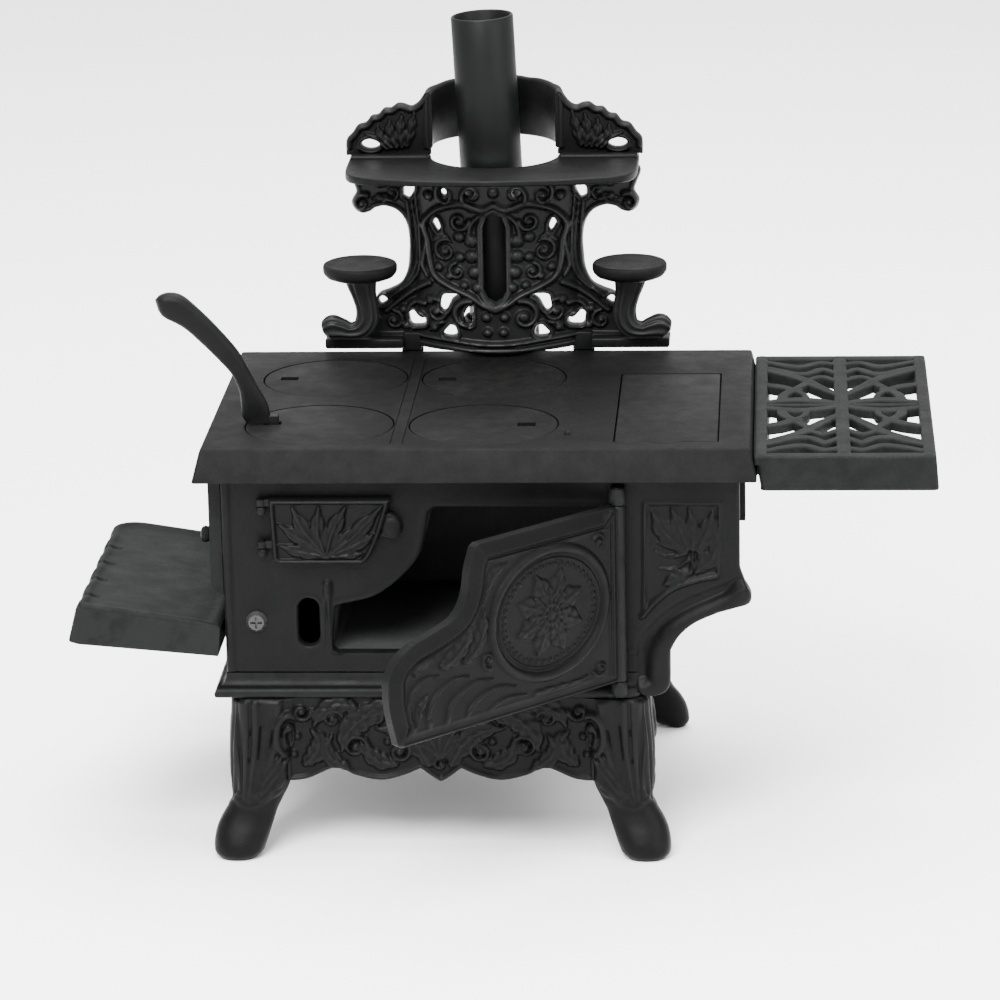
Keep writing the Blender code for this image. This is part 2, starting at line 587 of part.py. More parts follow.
def grille_shelf(iron):
    """The right shelf: a skirted frame with a spine and a lattice of bars."""
    x0, x1, y0, y1, top = 192.0, 254.6, 0.0, 135.4, 146.5
    shelf = link("grille_shelf", block((x0, y0, top - 12.6), (x1, y1, top), (-2.4, 1.0, 0.4, 0.4)))
    frame = 6.2
    under = block((x0 + 4.6, y0 + 3.0, top - 15.0), (x1 - 3.0, y1 - 3.0, top - 3.4))
    middle_x, middle_y = (x0 + x1) / 2, (y0 + y1) / 2
    cuts = [under]
    for side in (-1, 1):
        for half in (-1, 1):
            for band in range(3):
                near = middle_y + half * (4.2 + band * 20.4)
                far = near + half * 16.4
                inner, outer = middle_x + side * 3.0, middle_x + side * ((x1 - x0) / 2 - frame)
                lean = half * 4.0
                bar = (inner + outer) / 2
                for a, b in ((inner, bar - side * 1.6), (bar + side * 1.6, outer)):
                    loop = [(a, near), (b, near + lean), (b, far), (a, far - lean)]
                    cuts.append(extrusion(loop, top - 8.0, 12.0, "Z"))
    combine(shelf, cuts, "DIFFERENCE")
    tongues = [block((179.2, c - 6.0, 132.5), (x0 + 4.2, c + 6.0, 136.0)) for c in GRILLE_TONGUES]
    combine(shelf, tongues, "UNION")
    finish(shelf, iron)


# ---------------------------------------------------------------- tall back
def bow(x):
    """How far the splash back's surface stands forward of its flat ends at a place across it."""
    reach = abs(x - BACK_X)
    radius = (BOW_HALF ** 2 + BOW_DEPTH ** 2) / (2 * BOW_DEPTH)
    return max(0.0, math.sqrt(max(radius ** 2 - reach ** 2, 0.0)) - radius + BOW_DEPTH)


def mirrored(half):
    """A closed outline from its left half, given as (distance from centre, height)."""
    return [(BACK_X - a, b) for a, b in half] + [(BACK_X + a, b) for a, b in reversed(half)]


def splash_outline():
    left = [(61.5, 152.4), (62.8, 158.0), (60.5, 164.4), (54.0, 165.8)]
    left += smooth([(48.0, 168.0), (43.0, 172.4), (37.4, 176.6), (33.6, 182.0), (32.8, 190.6),
                    (34.2, 198.8), (38.0, 203.0), (43.6, 204.2)], 2)
    left += smooth([(46.6, 201.6), (50.6, 201.2), (53.2, 206.0), (51.4, 211.0)], 2)
    left += [(52.4, 214.6), (52.4, SHELF_Z - SHELF_T - GAP)]
    return mirrored(left)


def splash_screw_places():
    return (BACK_X - 31.0, BACK_X + 31.0)


def splash_back(iron):
    """The back plate: waisted, bowed forward in the middle for the pipe, with pierced scrolls."""
    eyes = []
    for side in (-1, 1):
        for a, b, r in ((37.0, 211.8, 1.8), (27.6, 195.0, 2.0), (46.6, 168.8, 2.4),
                        (20.4, 171.6, 3.0), (34.6, 160.6, 2.0), (12.8, 166.0, 2.4)):
            eyes.append(arc((BACK_X + side * a, b), r, 0, 324, 9))
    slot = [(-3.6, 172.0), (0, 169.4), (3.6, 172.0), (3.6, 197.4), (0, 201.0), (-3.6, 197.4)]
    eyes.append([(BACK_X + a, b) for a, b in slot])
    splash = link("splash_back", bowed_slab())
    combine(splash, [extrusion(splash_outline(), SPLASH_Y - 16.0, 26.0)], "INTERSECT")
    extras = []
    for x in splash_screw_places():
        extras.append(block((x - 4, SPLASH_Y, 138.4), (x + 4, SPLASH_Y + SPLASH_T, 154.0)))
    for side in (-1, 1):
        x = BACK_X + side * 47.0
        extras.append(block((x - 15.5, 129.0, 152.2), (x + 15.5, SPLASH_Y + 1.0, 160.0)))
    combine(splash, extras, "UNION")
    cuts = [extrusion(eye, SPLASH_Y - 18.0, 30.0) for eye in eyes]
    cuts += [rod((x, SPLASH_Y - 2, SPLASH_SCREW_Z), 1.6, 8, "Y", 12) for x in splash_screw_places()]
    cuts += [rod((x, SPLASH_Y + SPLASH_T / 2, 196.0), 1.25, 30, segments=12) for x in bolt_places()]
    combine(splash, cuts, "DIFFERENCE")
    finish(splash, iron)


def bowed_slab():
    """A tall slab with the back plate's plan: flat ends and a middle bowed forward."""
    places = [BACK_X - 70] + [BACK_X + BOW_HALF * i / 7 for i in range(-7, 8)] + [BACK_X + 70]
    front = [(x, SPLASH_Y - bow(x)) for x in places]
    rear = [(x, y + SPLASH_T) for x, y in reversed(front)]
    return extrusion(front + rear, 145.0, 80.0, "Z")


def bolt_places():
    return (BACK_X - 39.5, BACK_X + 39.5)


def warming_shelf(iron):
    """The shelf on top of the splash back, notched at the rear for the pipe."""
    half, front, rear = 53.4, 91.6, SPLASH_Y + SPLASH_T
    left = arc((-half + 14, 111), 14, 180, 250, 5)
    left = [(BACK_X + a, b) for a, b in left]
    right = [(2 * BACK_X - a, b) for a, b in reversed(left)]
    notch = arc((BACK_X, 137.6), 23.5, 0, -180, 16)
    outline = left + [(BACK_X, front - 0.4)] + right + [(BACK_X + half, rear)]
    outline += [(BACK_X + 23.5, rear)] + notch + [(BACK_X - 23.5, rear), (BACK_X - half, rear)]
    shelf = link("warming_shelf", extrusion(outline, SHELF_Z - SHELF_T, SHELF_T, "Z"))
    combine(shelf, [rod((x, SPLASH_Y + SPLASH_T / 2, 215), 1.25, 12, segments=12)
                    for x in bolt_places()], "DIFFERENCE")
    finish(shelf, iron)


def crest(iron):
    """The pediment on the shelf: two pierced wings joined by a half-round niche for the pipe."""
    z = SHELF_Z + GAP
    wing = [(24.0, z), (53.6, z)] + smooth([(55.0, 226.0), (53.4, 231.4), (49.0, 235.2), (44.6, 237.8),
                                            (38.8, 240.6), (33.8, 242.7), (28.4, 245.4), (24.0, 246.6)], 2)
    outline = [(BACK_X - a, b) for a, b in wing]
    eye = [(BACK_X - 44.9 + 3.4 * math.cos(a), 227.4 + 1.7 * math.sin(a))
           for a in [math.pi * i / 5 for i in range(10)]]
    obj = link("crest", extrusion(outline, SPLASH_Y, SPLASH_T))
    flip = [(2 * BACK_X - a, b) for a, b in outline]
    eyes = [eye, [(2 * BACK_X - a, b) for a, b in eye]]
    niche = arc((BACK_X, 136.6), 25.8, 0, 180, 20) + arc((BACK_X, 136.6), 22.8, 180, 0, 20)
    extras = [extrusion(flip, SPLASH_Y, SPLASH_T), extrusion(niche, 226.4, 21.8, "Z")]
    combine(obj, extras, "UNION")
    cuts = [extrusion(hole, SPLASH_Y - 1, SPLASH_T + 2) for hole in eyes]
    cuts += [rod((x, SPLASH_Y + SPLASH_T / 2, 215), 1.25, 13.6, segments=12) for x in bolt_places()]
    combine(obj, cuts, "DIFFERENCE")
    finish(obj, iron)


def trivets(iron):
    """Two round teapot stands, each a disc on a curved column."""
    for name, side in (("left", -1), ("right", 1)):
        x, y = BACK_X + side * 49.8, 124.0
        disc = link(f"trivet_{name}", rod((x, y, 180.9), 12.6, 4.4, segments=40, top_radius=13.7),
                    (x, y, 185.3))
        path = smooth([(49.4, 182.0), (50.6, 176.0), (47.6, 169.0), (46.4, 160.5)], 3)
        left = [(BACK_X + side * (a + 4.6 + 0.02 * abs(b - 170) ** 2 * 0.5), b) for a, b in path]
        right = [(BACK_X + side * (a - 4.6 - 0.02 * abs(b - 170) ** 2 * 0.4), b) for a, b in path]
        outline = left + right[::-1]
        column = extrusion(outline, y - 2.0, 6.0)
        combine(disc, [column], "UNION")
        finish(disc, iron)


def stovepipe(iron, painted):
    """The flue collar on the hob's boss and the pipe that stands in it, leaning to the left."""
    collar = link("flue_collar", rod((PIPE_X, PIPE_Y, HOB_Z + GAP), 15.6, 2.6, segments=40,
                                     top_radius=15.0))
    combine(collar, [rod((PIPE_X, PIPE_Y, HOB_Z + 2.0), 14.2, 9.6, segments=40, top_radius=13.9)],
            "UNION")
    combine(collar, [rod((PIPE_X, PIPE_Y, HOB_Z + 1.6), 12.6, 20, segments=40),
                     rod((PIPE_X, PIPE_Y, HOB_Z - 2), 9.0, 20, segments=32)], "DIFFERENCE")
    finish(collar, iron)
    length = PIPE_TOP - PIPE_BOTTOM
    pipe = link("stovepipe", rod((PIPE_X, PIPE_Y, PIPE_BOTTOM), PIPE_R, length, segments=48),
                (PIPE_X, PIPE_Y, PIPE_BOTTOM))
    combine(pipe, [rod((PIPE_X, PIPE_Y, PIPE_BOTTOM - 2), PIPE_R - 1.1, length + 4, segments=48)],
            "DIFFERENCE")
    pipe.location = at(PIPE_X + 0.2, PIPE_Y, PIPE_BOTTOM)
    pipe.modifiers[0].object.location = pipe.location
    pipe.rotation_euler.y = -math.radians(PIPE_LEAN)
    tilt(pipe)
    finish(pipe, painted)


# ---------------------------------------------------------------- screws
def screw(name, place, axis, head_r, shank_r, length, steel, head_t=1.8):
    """A round-head screw with a cross recess; its head starts at place and its shank follows."""
    step = {"Y": Vector((0, 1, 0)), "-Y": Vector((0, -1, 0)), "-Z": Vector((0, 0, -1)),
            "Z": Vector((0, 0, 1))}[axis]
    turn = Vector((0, 0, 1)).rotation_difference(step).to_matrix().to_4x4()
    base = Matrix.Translation(Vector(place)) @ turn
    head = rod((0, 0, 0), head_r * 0.72, head_t, segments=20, top_radius=head_r)
    shank = rod((0, 0, head_t - 0.2), shank_r, length, segments=12)
    slots = [block((-head_r * 0.55, -0.4, -1), (head_r * 0.55, 0.4, 0.9)),
             block((-0.4, -head_r * 0.55, -1), (0.4, head_r * 0.55, 0.9))]
    for mesh in [head, shank] + slots:
        mesh.transform(base)
    obj = link(name, head, place)
    combine(obj, [shank], "UNION")
    combine(obj, slots, "DIFFERENCE")
    finish(obj, steel)


def screws(steel):
    x, z = FRONT_SCREW
    screw("front_screw", (x, PANEL_Y - 2.1, z), "Y", 3.8, 1.5, 130.2, steel)
    nut = link("front_screw_nut", rod((x, BACK_Y + WALL_T + GAP, z), 3.3, 2.4, "Y", 6))
    combine(nut, [rod((x, BACK_Y, z), 1.8, 9, "Y", 12)], "DIFFERENCE")
    finish(nut, steel)
    for index, x in enumerate(splash_screw_places()):
        side = ("left", "right")[index]
        screw(f"splash_screw_{side}", (x, SPLASH_Y + SPLASH_T + 2.1, SPLASH_SCREW_Z), "-Y", 2.8, 1.0, 5.6,
              steel)
    for index, x in enumerate(bolt_places()):
        side = ("left", "right")[index]
        screw(f"shelf_bolt_{side}", (x, SPLASH_Y + SPLASH_T / 2, 199.6), "Z", 1.6, 0.9, 26.0, steel,
              1.4)
    for place, (x, y) in leg_places().items():
        screw(f"leg_screw_{place}", (x, y, 63.5), "-Z", 3.2, 1.5, 13.0, steel)


# ---------------------------------------------------------------- the whole stove
def build():
    clear_scene()
    iron = cast_iron("black_cast_iron", 0.036, 0.62)
    plate = cast_iron("hob_iron", 0.05, 0.55)
    painted = cast_iron("pipe_black", 0.034, 0.5)
    steel = cast_iron("blackened_steel", 0.05, 0.42)

    top_plate(plate)
    hob_lids(plate)
    reservoir_lid(plate)
    lid_lifter(iron)
    front_panel(iron)
    side_walls(iron)
    back_wall(iron)
    oven(iron)
    reservoir_tank(iron)
    base_frame(iron)
    for name in leg_places():
        leg(name, "left" in name, "back" in name, iron)
    oven_door(iron)
    oven_door_pins(steel)
    firebox_door(iron)
    feed_door(iron, steel)
    ash_shelf(iron)
    grille_shelf(iron)
    splash_back(iron)
    warming_shelf(iron)
    crest(iron)
    trivets(iron)
    stovepipe(iron, painted)
    screws(steel)


build()
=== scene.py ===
import math

import bmesh
import bpy
import numpy as np
from mathutils import Matrix, Vector

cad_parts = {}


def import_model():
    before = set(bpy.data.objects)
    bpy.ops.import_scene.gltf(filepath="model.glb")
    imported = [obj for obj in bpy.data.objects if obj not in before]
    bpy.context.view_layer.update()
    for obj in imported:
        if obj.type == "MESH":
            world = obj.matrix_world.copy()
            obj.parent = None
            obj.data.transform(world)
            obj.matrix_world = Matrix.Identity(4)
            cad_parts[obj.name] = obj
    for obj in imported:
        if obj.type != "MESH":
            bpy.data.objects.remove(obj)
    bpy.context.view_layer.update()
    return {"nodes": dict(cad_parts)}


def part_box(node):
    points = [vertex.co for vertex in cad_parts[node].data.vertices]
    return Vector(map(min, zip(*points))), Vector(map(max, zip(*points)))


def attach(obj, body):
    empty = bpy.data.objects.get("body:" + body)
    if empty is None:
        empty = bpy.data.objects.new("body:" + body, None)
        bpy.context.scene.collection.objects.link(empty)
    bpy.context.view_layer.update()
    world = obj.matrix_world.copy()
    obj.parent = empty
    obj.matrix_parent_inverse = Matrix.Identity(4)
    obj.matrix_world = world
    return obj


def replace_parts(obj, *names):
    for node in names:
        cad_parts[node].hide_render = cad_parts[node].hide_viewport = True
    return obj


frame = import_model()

# Lengths below are millimetres in the hob frame: X from the hob's left edge, Y from its front
# edge, Z from the floor. The hob's own node says where that frame lies.
MM = 0.001
RIM_SIDE, RIM_FRONT = 2.7, 5.4
_low, _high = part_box("top_plate")
ORIGIN = np.array([_low.x / MM + RIM_SIDE, _low.y / MM + RIM_FRONT, 0])
HOB_W, HOB_D, HOB_Z = 190.5, 134.5, _high.z / MM
RIM_DROP = 10.8


def world(points):
    """Hob-frame millimetres to metres in the shared frame."""
    return (np.asarray(points, float) + ORIGIN) * MM


# ------------------------------ paths and distances
def smooth(points, steps=6):
    """Points on a Catmull-Rom curve through an open run of points."""
    p = np.asarray(points, float)
    p = np.vstack([2 * p[0] - p[1], p, 2 * p[-1] - p[-2]])
    line = []
    for a, b, c, d in zip(p, p[1:], p[2:], p[3:]):
        for k in range(steps):
            t = k / steps
            line.append(0.5 * (2 * b + (c - a) * t + (2 * a - 5 * b + 4 * c - d) * t * t
                + (3 * b - a - 3 * c + d) * t ** 3))
    line.append(p[-2])
    return np.array(line)


def arc(centre, radius, start, end, steps=24):
    """Points from one angle in degrees to another; radius may be one for X and one for Y."""
    angle = np.radians(np.linspace(start, end, steps + 1))
    rx, ry = (radius, radius) if np.isscalar(radius) else radius
    return np.stack([centre[0] + rx * np.cos(angle), centre[1] + ry * np.sin(angle)], 1)


def spiral(centre, radius, start, turns, inner=0.16, steps=40):
    """A spiral from its outer end inwards; negative turns run clockwise."""
    t = np.linspace(0, 1, steps)
    angle = np.radians(start) + 2 * np.pi * turns * t
    r = radius * (1 - (1 - inner) * t ** 0.85)
    return np.stack([centre[0] + r * np.cos(angle), centre[1] + r * np.sin(angle)], 1)


def flip(points, middle):
    """A path mirrored about an upright line, in the opposite order."""
    p = np.array(points, float)
    p[:, 0] = 2 * middle - p[:, 0]
    return p[::-1]


def mirrored(points, side, middle):
    """Points given as distances out from a middle line, on its side -1 or 1."""
    p = np.array(points, float)
    return np.c_[middle + side * p[:, 0], p[:, 1]]


def both_sides(points, middle):
    """A closed outline from its half, given as distances out from the middle line."""
    return np.vstack([mirrored(points, -1, middle), mirrored(points, 1, middle)[::-1]])


def unit(value):
    """The value kept between 0 and 1."""
    return np.clip(value, 0, 1)


def full_turn(count):
    """Evenly spaced angles round a circle."""
    return np.linspace(0, 2 * np.pi, count, endpoint=False)


def squarish(wave, power):
    """A sine or cosine whose circle is pushed out towards a square; power 1 leaves it round."""
    return np.sign(wave) * np.abs(wave) ** power


def roll(depth, width, height):
    """The height of a rounded roll along an edge, at depths inside it."""
    return height * unit(1 - ((depth - width) / width) ** 2)


def near(points, path):
    """Distance from points to an open path, and the share of its length reached there."""
    a, b = path[:-1], path[1:]
    along = b - a
    length = np.maximum(np.hypot(along[:, 0], along[:, 1]), 1e-9)
    start = np.concatenate([[0], np.cumsum(length)])
    best = np.full(len(points), 1e9)
    share = np.zeros(len(points))
    for i in range(len(a)):
        rel = points - a[i]
        t = unit(rel @ along[i] / length[i] ** 2)
        gap = rel - t[:, None] * along[i]
        dist = np.hypot(gap[:, 0], gap[:, 1])
        closer = dist < best
        best[closer] = dist[closer]
        share[closer] = (start[i] + t[closer] * length[i]) / start[-1]
    return best, share


def signed(points, outline):
    """Signed distance to a closed outline, negative inside."""
    outline = np.asarray(outline, float)
    closed = np.vstack([outline, outline[:1]])
    dist = near(points, closed)[0]
    x, y = points[:, 0], points[:, 1]
    inside = np.zeros(len(points), bool)
    for (x0, y0), (x1, y1) in zip(closed, closed[1:]):
        if y0 != y1:
            crosses = (y0 > y) != (y1 > y)
            inside ^= crosses & (x < (x1 - x0) * (y - y0) / (y1 - y0) + x0)
    return np.where(inside, -dist, dist)


# ------------------------------ relief castings
def cell_cases():
    """For each pattern of inside corners: the polygon round a cell, and its boundary steps."""
    cases = {}
    for code in range(1, 16):
        corner = [bool(code >> k & 1) for k in range(4)]
        loop = []
        for k in range(4):
            if corner[k]:
                loop.append(("c", k))
            if corner[k] != corner[(k + 1) % 4]:
                loop.append(("e", k))
        steps = [(i, (i + 1) % len(loop)) for i in range(len(loop)) if loop[i][0] == "e"
            and loop[(i + 1) % len(loop)][0] == "e" and corner[loop[i][1]]]
        cases[code] = (loop, steps)
    return cases


CASES = cell_cases()


class Casting:
    """An ornamented casting drawn on a flat grid: its outline as a signed distance, its face
    as heights. Ridges, leaves and scrolls raise the face; solid() makes the closed mesh."""

    def __init__(self, outline, cell=0.45):
        outline = np.asarray(outline, float)
        low, high = outline.min(0) - 2 * cell, outline.max(0) + 2 * cell
        self.cell = cell
        self.u = np.arange(low[0], high[0] + cell, cell)
        self.v = np.arange(low[1], high[1] + cell, cell)
        grid_u, grid_v = np.meshgrid(self.u, self.v, indexing="ij")
        self.grid = np.stack([grid_u, grid_v], -1)
        self.edge = signed(self.grid.reshape(-1, 2), outline).reshape(grid_u.shape)
        self.height = np.zeros(grid_u.shape)

    def window(self, path, margin):
        """The grid's cells round a path."""
        path = np.asarray(path, float)
        low, high = path.min(0) - margin, path.max(0) + margin
        i = np.searchsorted(self.u, [low[0], high[0]])
        j = np.searchsorted(self.v, [low[1], high[1]])
        return slice(max(i[0] - 1, 0), i[1] + 1), slice(max(j[0] - 1, 0), j[1] + 1)

    def pierce(self, outline, lip=0, width=1.2):
        """A hole through the casting, with a raised lip round it."""
        place = self.window(outline, 6)
        points = self.grid[place].reshape(-1, 2)
        hole = signed(points, outline).reshape(self.edge[place].shape)
        self.edge[place] = np.maximum(self.edge[place], -hole)
        if lip:
            self.add(place, roll(hole, width, lip))

    def add(self, place, field, merge=np.maximum):
        self.height[place] = merge(self.height[place], field)

    def ridge(self, path, width, height, ends=(1, 1), power=1.2, merge=np.maximum):
        """A rounded ridge along a path; width is half its breadth, ends scale it there."""
        path = np.asarray(path, float)
        place = self.window(path, width)
        dist, share = near(self.grid[place].reshape(-1, 2), path)
        scale = ends[0] + (ends[1] - ends[0]) * share
        x = unit(dist / (width * np.maximum(scale, 0.05)))
        field = height * (0.4 + 0.6 * scale) * (1 - x ** 2) ** power
        self.add(place, field.reshape(self.height[place].shape), merge)

    def groove(self, path, width, depth):
        self.ridge(path, width, -depth, merge=np.add)

    def bead(self, centre, radius, height):
        centre = np.asarray(centre, float)
        place = self.window([centre], radius)
        dist = np.hypot(*np.moveaxis(self.grid[place] - centre, -1, 0)) / radius
        self.add(place, height * np.sqrt(unit(1 - dist ** 2)))

    def leaf(self, path, width, height, lobes=4, slant=0.55):
        """An acanthus leaf along a path: raised rim and midrib, slanted flutes, lobed edge."""
        path = np.asarray(path, float)
        place = self.window(path, width * 1.1)
        dist, s = near(self.grid[place].reshape(-1, 2), path)
        body = 0.3 + 0.7 * np.sin(np.pi * unit(s) ** 0.8) ** 0.8
        body = body * (1 - s ** 6) + 0.05
        notch = np.abs(np.sin(np.pi * (lobes * s - slant))) ** 0.6
        reach = width * body * (0.74 + 0.26 * notch)
        x = dist / reach
        flute = np.abs(np.sin(np.pi * (lobes * s - slant * unit(x)))) ** 0.7
        dish = 0.62 + 0.3 * unit(x) ** 2
        field = height * unit(1 - x ** 5) ** 0.8 * dish * (0.66 + 0.34 * flute)
        rib = height * 0.42 * np.exp(-(dist / (0.1 * width + 0.22)) ** 2) * (1 - s ** 3)
        self.add(place, (field + rib * (x < 1)).reshape(self.height[place].shape))

    def leaves(self, rows, height, lobes, steps=8):
        """A leaf along each row's path, with the row's width."""
        for path, width in rows:
            self.leaf(smooth(path, steps), width, height, lobes)

    def scroll(self, centre, radius, start, turns, width, height, bead=0.34):
        self.ridge(spiral(centre, radius, start, turns), width, height, (1, 0.6))
        self.bead(centre, radius * bead, height * 1.25)

    def border(self, inset, width, height):
        """A ridge that follows the outline at a distance inside it."""
        x = unit(np.abs(-self.edge - inset) / width)
        self.height = np.maximum(self.height, height * (1 - x ** 2) ** 1.2)

    def line_inside(self, outline, inset, width, height):
        """A ridge at a distance inside an outline drawn on the face."""
        place = self.window(outline, width)
        dist = signed(self.grid[place].reshape(-1, 2), outline)
        x = unit(np.abs(-dist - inset) / width)
        self.add(place, (height * (1 - x ** 2) ** 1.2).reshape(self.height[place].shape))

    def sample(self, points):
        """Heights at any points, by bilinear reading."""
        x = np.clip((points[:, 0] - self.u[0]) / self.cell, 0, len(self.u) - 1.001)
        y = np.clip((points[:, 1] - self.v[0]) / self.cell, 0, len(self.v) - 1.001)
        i, j = x.astype(int), y.astype(int)
        fx, fy = x - i, y - j
        h = self.height
        return (h[i, j] * (1 - fx) * (1 - fy) + h[i + 1, j] * fx * (1 - fy) + h[i, j + 1]
            * (1 - fx) * fy + h[i + 1, j + 1] * fx * fy)

    def soften(self, rounds=1):
        """Blurs the heights a little, as sand casting does."""
        for _ in range(rounds):
            h = np.pad(self.height, 1, mode="edge")
            self.height = (4 * h[1:-1, 1:-1] + h[:-2, 1:-1] + h[2:, 1:-1] + h[1:-1, :-2]
                + h[1:-1, 2:]) / 8

    def solid(self, name, place, depth, material, rounding=0.7, body="stove", sharp=55):
        """The closed mesh: place(u, v, height) gives hob-frame points."""
        edge, inside = self.edge, self.edge < 0
        count = int(inside.sum())
        corner = np.full(edge.shape, -1)
        corner[inside] = np.arange(count)
        flat = [self.grid[inside]]
        heights = [self.height[inside]]
        inset = [-edge[inside]]
        ids = []
        for axis in (0, 1):
            a = [slice(None)] * 2
            b = [slice(None)] * 2
            a[axis], b[axis] = slice(None, -1), slice(1, None)
            a, b = tuple(a), tuple(b)
            crossing = inside[a] != inside[b]
            t = np.clip(edge[a][crossing] / (edge[a][crossing] - edge[b][crossing]), 0.06, 0.94)
            index = np.full(crossing.shape, -1)
            index[crossing] = count + np.arange(len(t))
            count += len(t)
            ids.append(index)
            flat.append(self.grid[a][crossing] * (1 - t)[:, None] + self.grid[b][crossing]
                * t[:, None])
            heights.append(self.height[a][crossing] * (1 - t) + self.height[b][crossing] * t)
            inset.append(np.zeros(len(t)))
        flat, heights, inset = np.vstack(flat), np.concatenate(heights), np.concatenate(inset)
        if rounding:
            fall = np.clip(rounding - inset, 0, rounding)
            heights = heights - (rounding - np.sqrt(np.maximum(rounding ** 2 - fall ** 2, 0)))
        corners = [corner[:-1, :-1], corner[1:, :-1], corner[1:, 1:], corner[:-1, 1:]]
        edges = [ids[0][:, :-1], ids[1][1:, :], ids[0][:, 1:], ids[1][:-1, :]]
        code = sum((c >= 0).astype(int) << k for k, c in enumerate(corners))
        faces, steps = [], []
        for case, (loop, pairs) in CASES.items():
            cells = code == case
            if not cells.any():
                continue
            table = np.stack([(corners if kind == "c" else edges)[k][cells] for kind, k in loop],
                1)
            faces.append(table)
            for i, j in pairs:
                steps.append(table[:, [i, j]])
        steps = np.vstack(steps)
        front = place(flat[:, 0], flat[:, 1], heights)
        back = place(flat[:, 0], flat[:, 1], np.full(count, -float(depth)))
        walls = np.stack([steps[:, 1], steps[:, 0], steps[:, 0] + count, steps[:, 1] + count], 1)
        loops = faces + [f[:, ::-1] + count for f in faces] + [walls]
        return build_mesh(name, np.vstack([front, back]), loops, material, body, sharp)


def build_mesh(name, points, loops, material, body="stove", sharp=40):
    """An object from points and arrays of equal-length faces, turned to face outwards."""
    volume = 0
    for table in loops:
        first = points[table[:, 0]]
        for k in range(1, table.shape[1] - 1):
            cross = np.cross(points[table[:, k]], points[table[:, k + 1]])
            volume += float((first * cross).sum())
    if volume < 0:
        loops = [table[:, ::-1] for table in loops]
    mesh = bpy.data.meshes.new(name)
    flat_points = world(points)
    total = sum(table.size for table in loops)
    mesh.vertices.add(len(points))
    mesh.vertices.foreach_set("co", flat_points.astype(np.float32).ravel())
    mesh.loops.add(total)
    mesh.loops.foreach_set("vertex_index", np.concatenate([table.ravel()
        for table in loops]).astype(np.int32))
    sizes = np.concatenate([np.full(len(table), table.shape[1]) for table in loops])
    mesh.polygons.add(len(sizes))
    starts = np.concatenate([[0], np.cumsum(sizes)[:-1]])
    mesh.polygons.foreach_set("loop_start", starts.astype(np.int32))
    mesh.update(calc_edges=True)
    mesh.validate()
    return place_object(name, mesh, material, body, sharp)


def place_object(name, mesh, material, body="stove", sharp=40):
    """An object in the scene that rides on a body, smooth but for its sharp edges."""
    obj = bpy.data.objects.new(name, mesh)
    bpy.context.scene.collection.objects.link(obj)
    mesh.materials.clear()
    mesh.materials.append(material)
    mesh.shade_smooth()
    if sharp:
        mesh.set_sharp_from_angle(angle=math.radians(sharp))
    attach(obj, body)
    return obj


def ring_quads(count, around, closed=True):
    """Quads between neighbouring rings, and from the last to the first if it is closed."""
    i = np.arange(around)
    j = (i + 1) % around
    quads = []
    for k in range(count if closed else count - 1):
        m = (k + 1) % count
        quads.append(np.stack([k * around + i, k * around + j, m * around + j, m * around + i], 1))
    return np.vstack(quads)


def loft(name, rings, material, body="stove", sharp=45):
    """A closed skin over rings of equally many points, its ends capped."""
    rings = [np.asarray(ring, float) for ring in rings]
    n = len(rings[0])
    points = np.vstack(rings + [rings[0].mean(0), rings[-1].mean(0)])
    i = np.arange(n)
    j = (i + 1) % n
    first, last = len(rings) * n, len(rings) * n + 1
    tail = (len(rings) - 1) * n
    caps = [np.stack([np.full(n, first), j, i], 1), np.stack([np.full(n, last), tail + i,
        tail + j], 1)]
    loops = [ring_quads(len(rings), n, closed=False)] + caps
    return build_mesh(name, points, loops, material, body, sharp)


def turned(name, profile, centre, material, body="stove", segments=96, sharp=45):
    """An upright turned shape from (radius, height) points; its ends lie close to the axis."""
    angle = full_turn(segments)
    rings = [np.stack([radius * np.cos(angle), radius * np.sin(angle), np.full(segments, height)],
        1) + np.asarray(centre, float) for radius, height in profile]
    return loft(name, rings, material, body, sharp)


def tube_wall(name, profile, centre, material, body="stove", segments=96, lean=0, sharp=45):
    """A ring-shaped turned wall from a closed (radius, height) profile, leaning to the left."""
    angle = full_turn(segments)
    points = []
    for radius, height in profile:
        x, y = radius * np.cos(angle), radius * np.sin(angle)
        points.append(np.stack([x * math.cos(lean) - height * math.sin(lean), y,
            height * math.cos(lean) + x * math.sin(lean)], 1))
    points = np.vstack(points) + np.asarray(centre, float)
    return build_mesh(name, points, [ring_quads(len(profile), segments)], material, body, sharp)


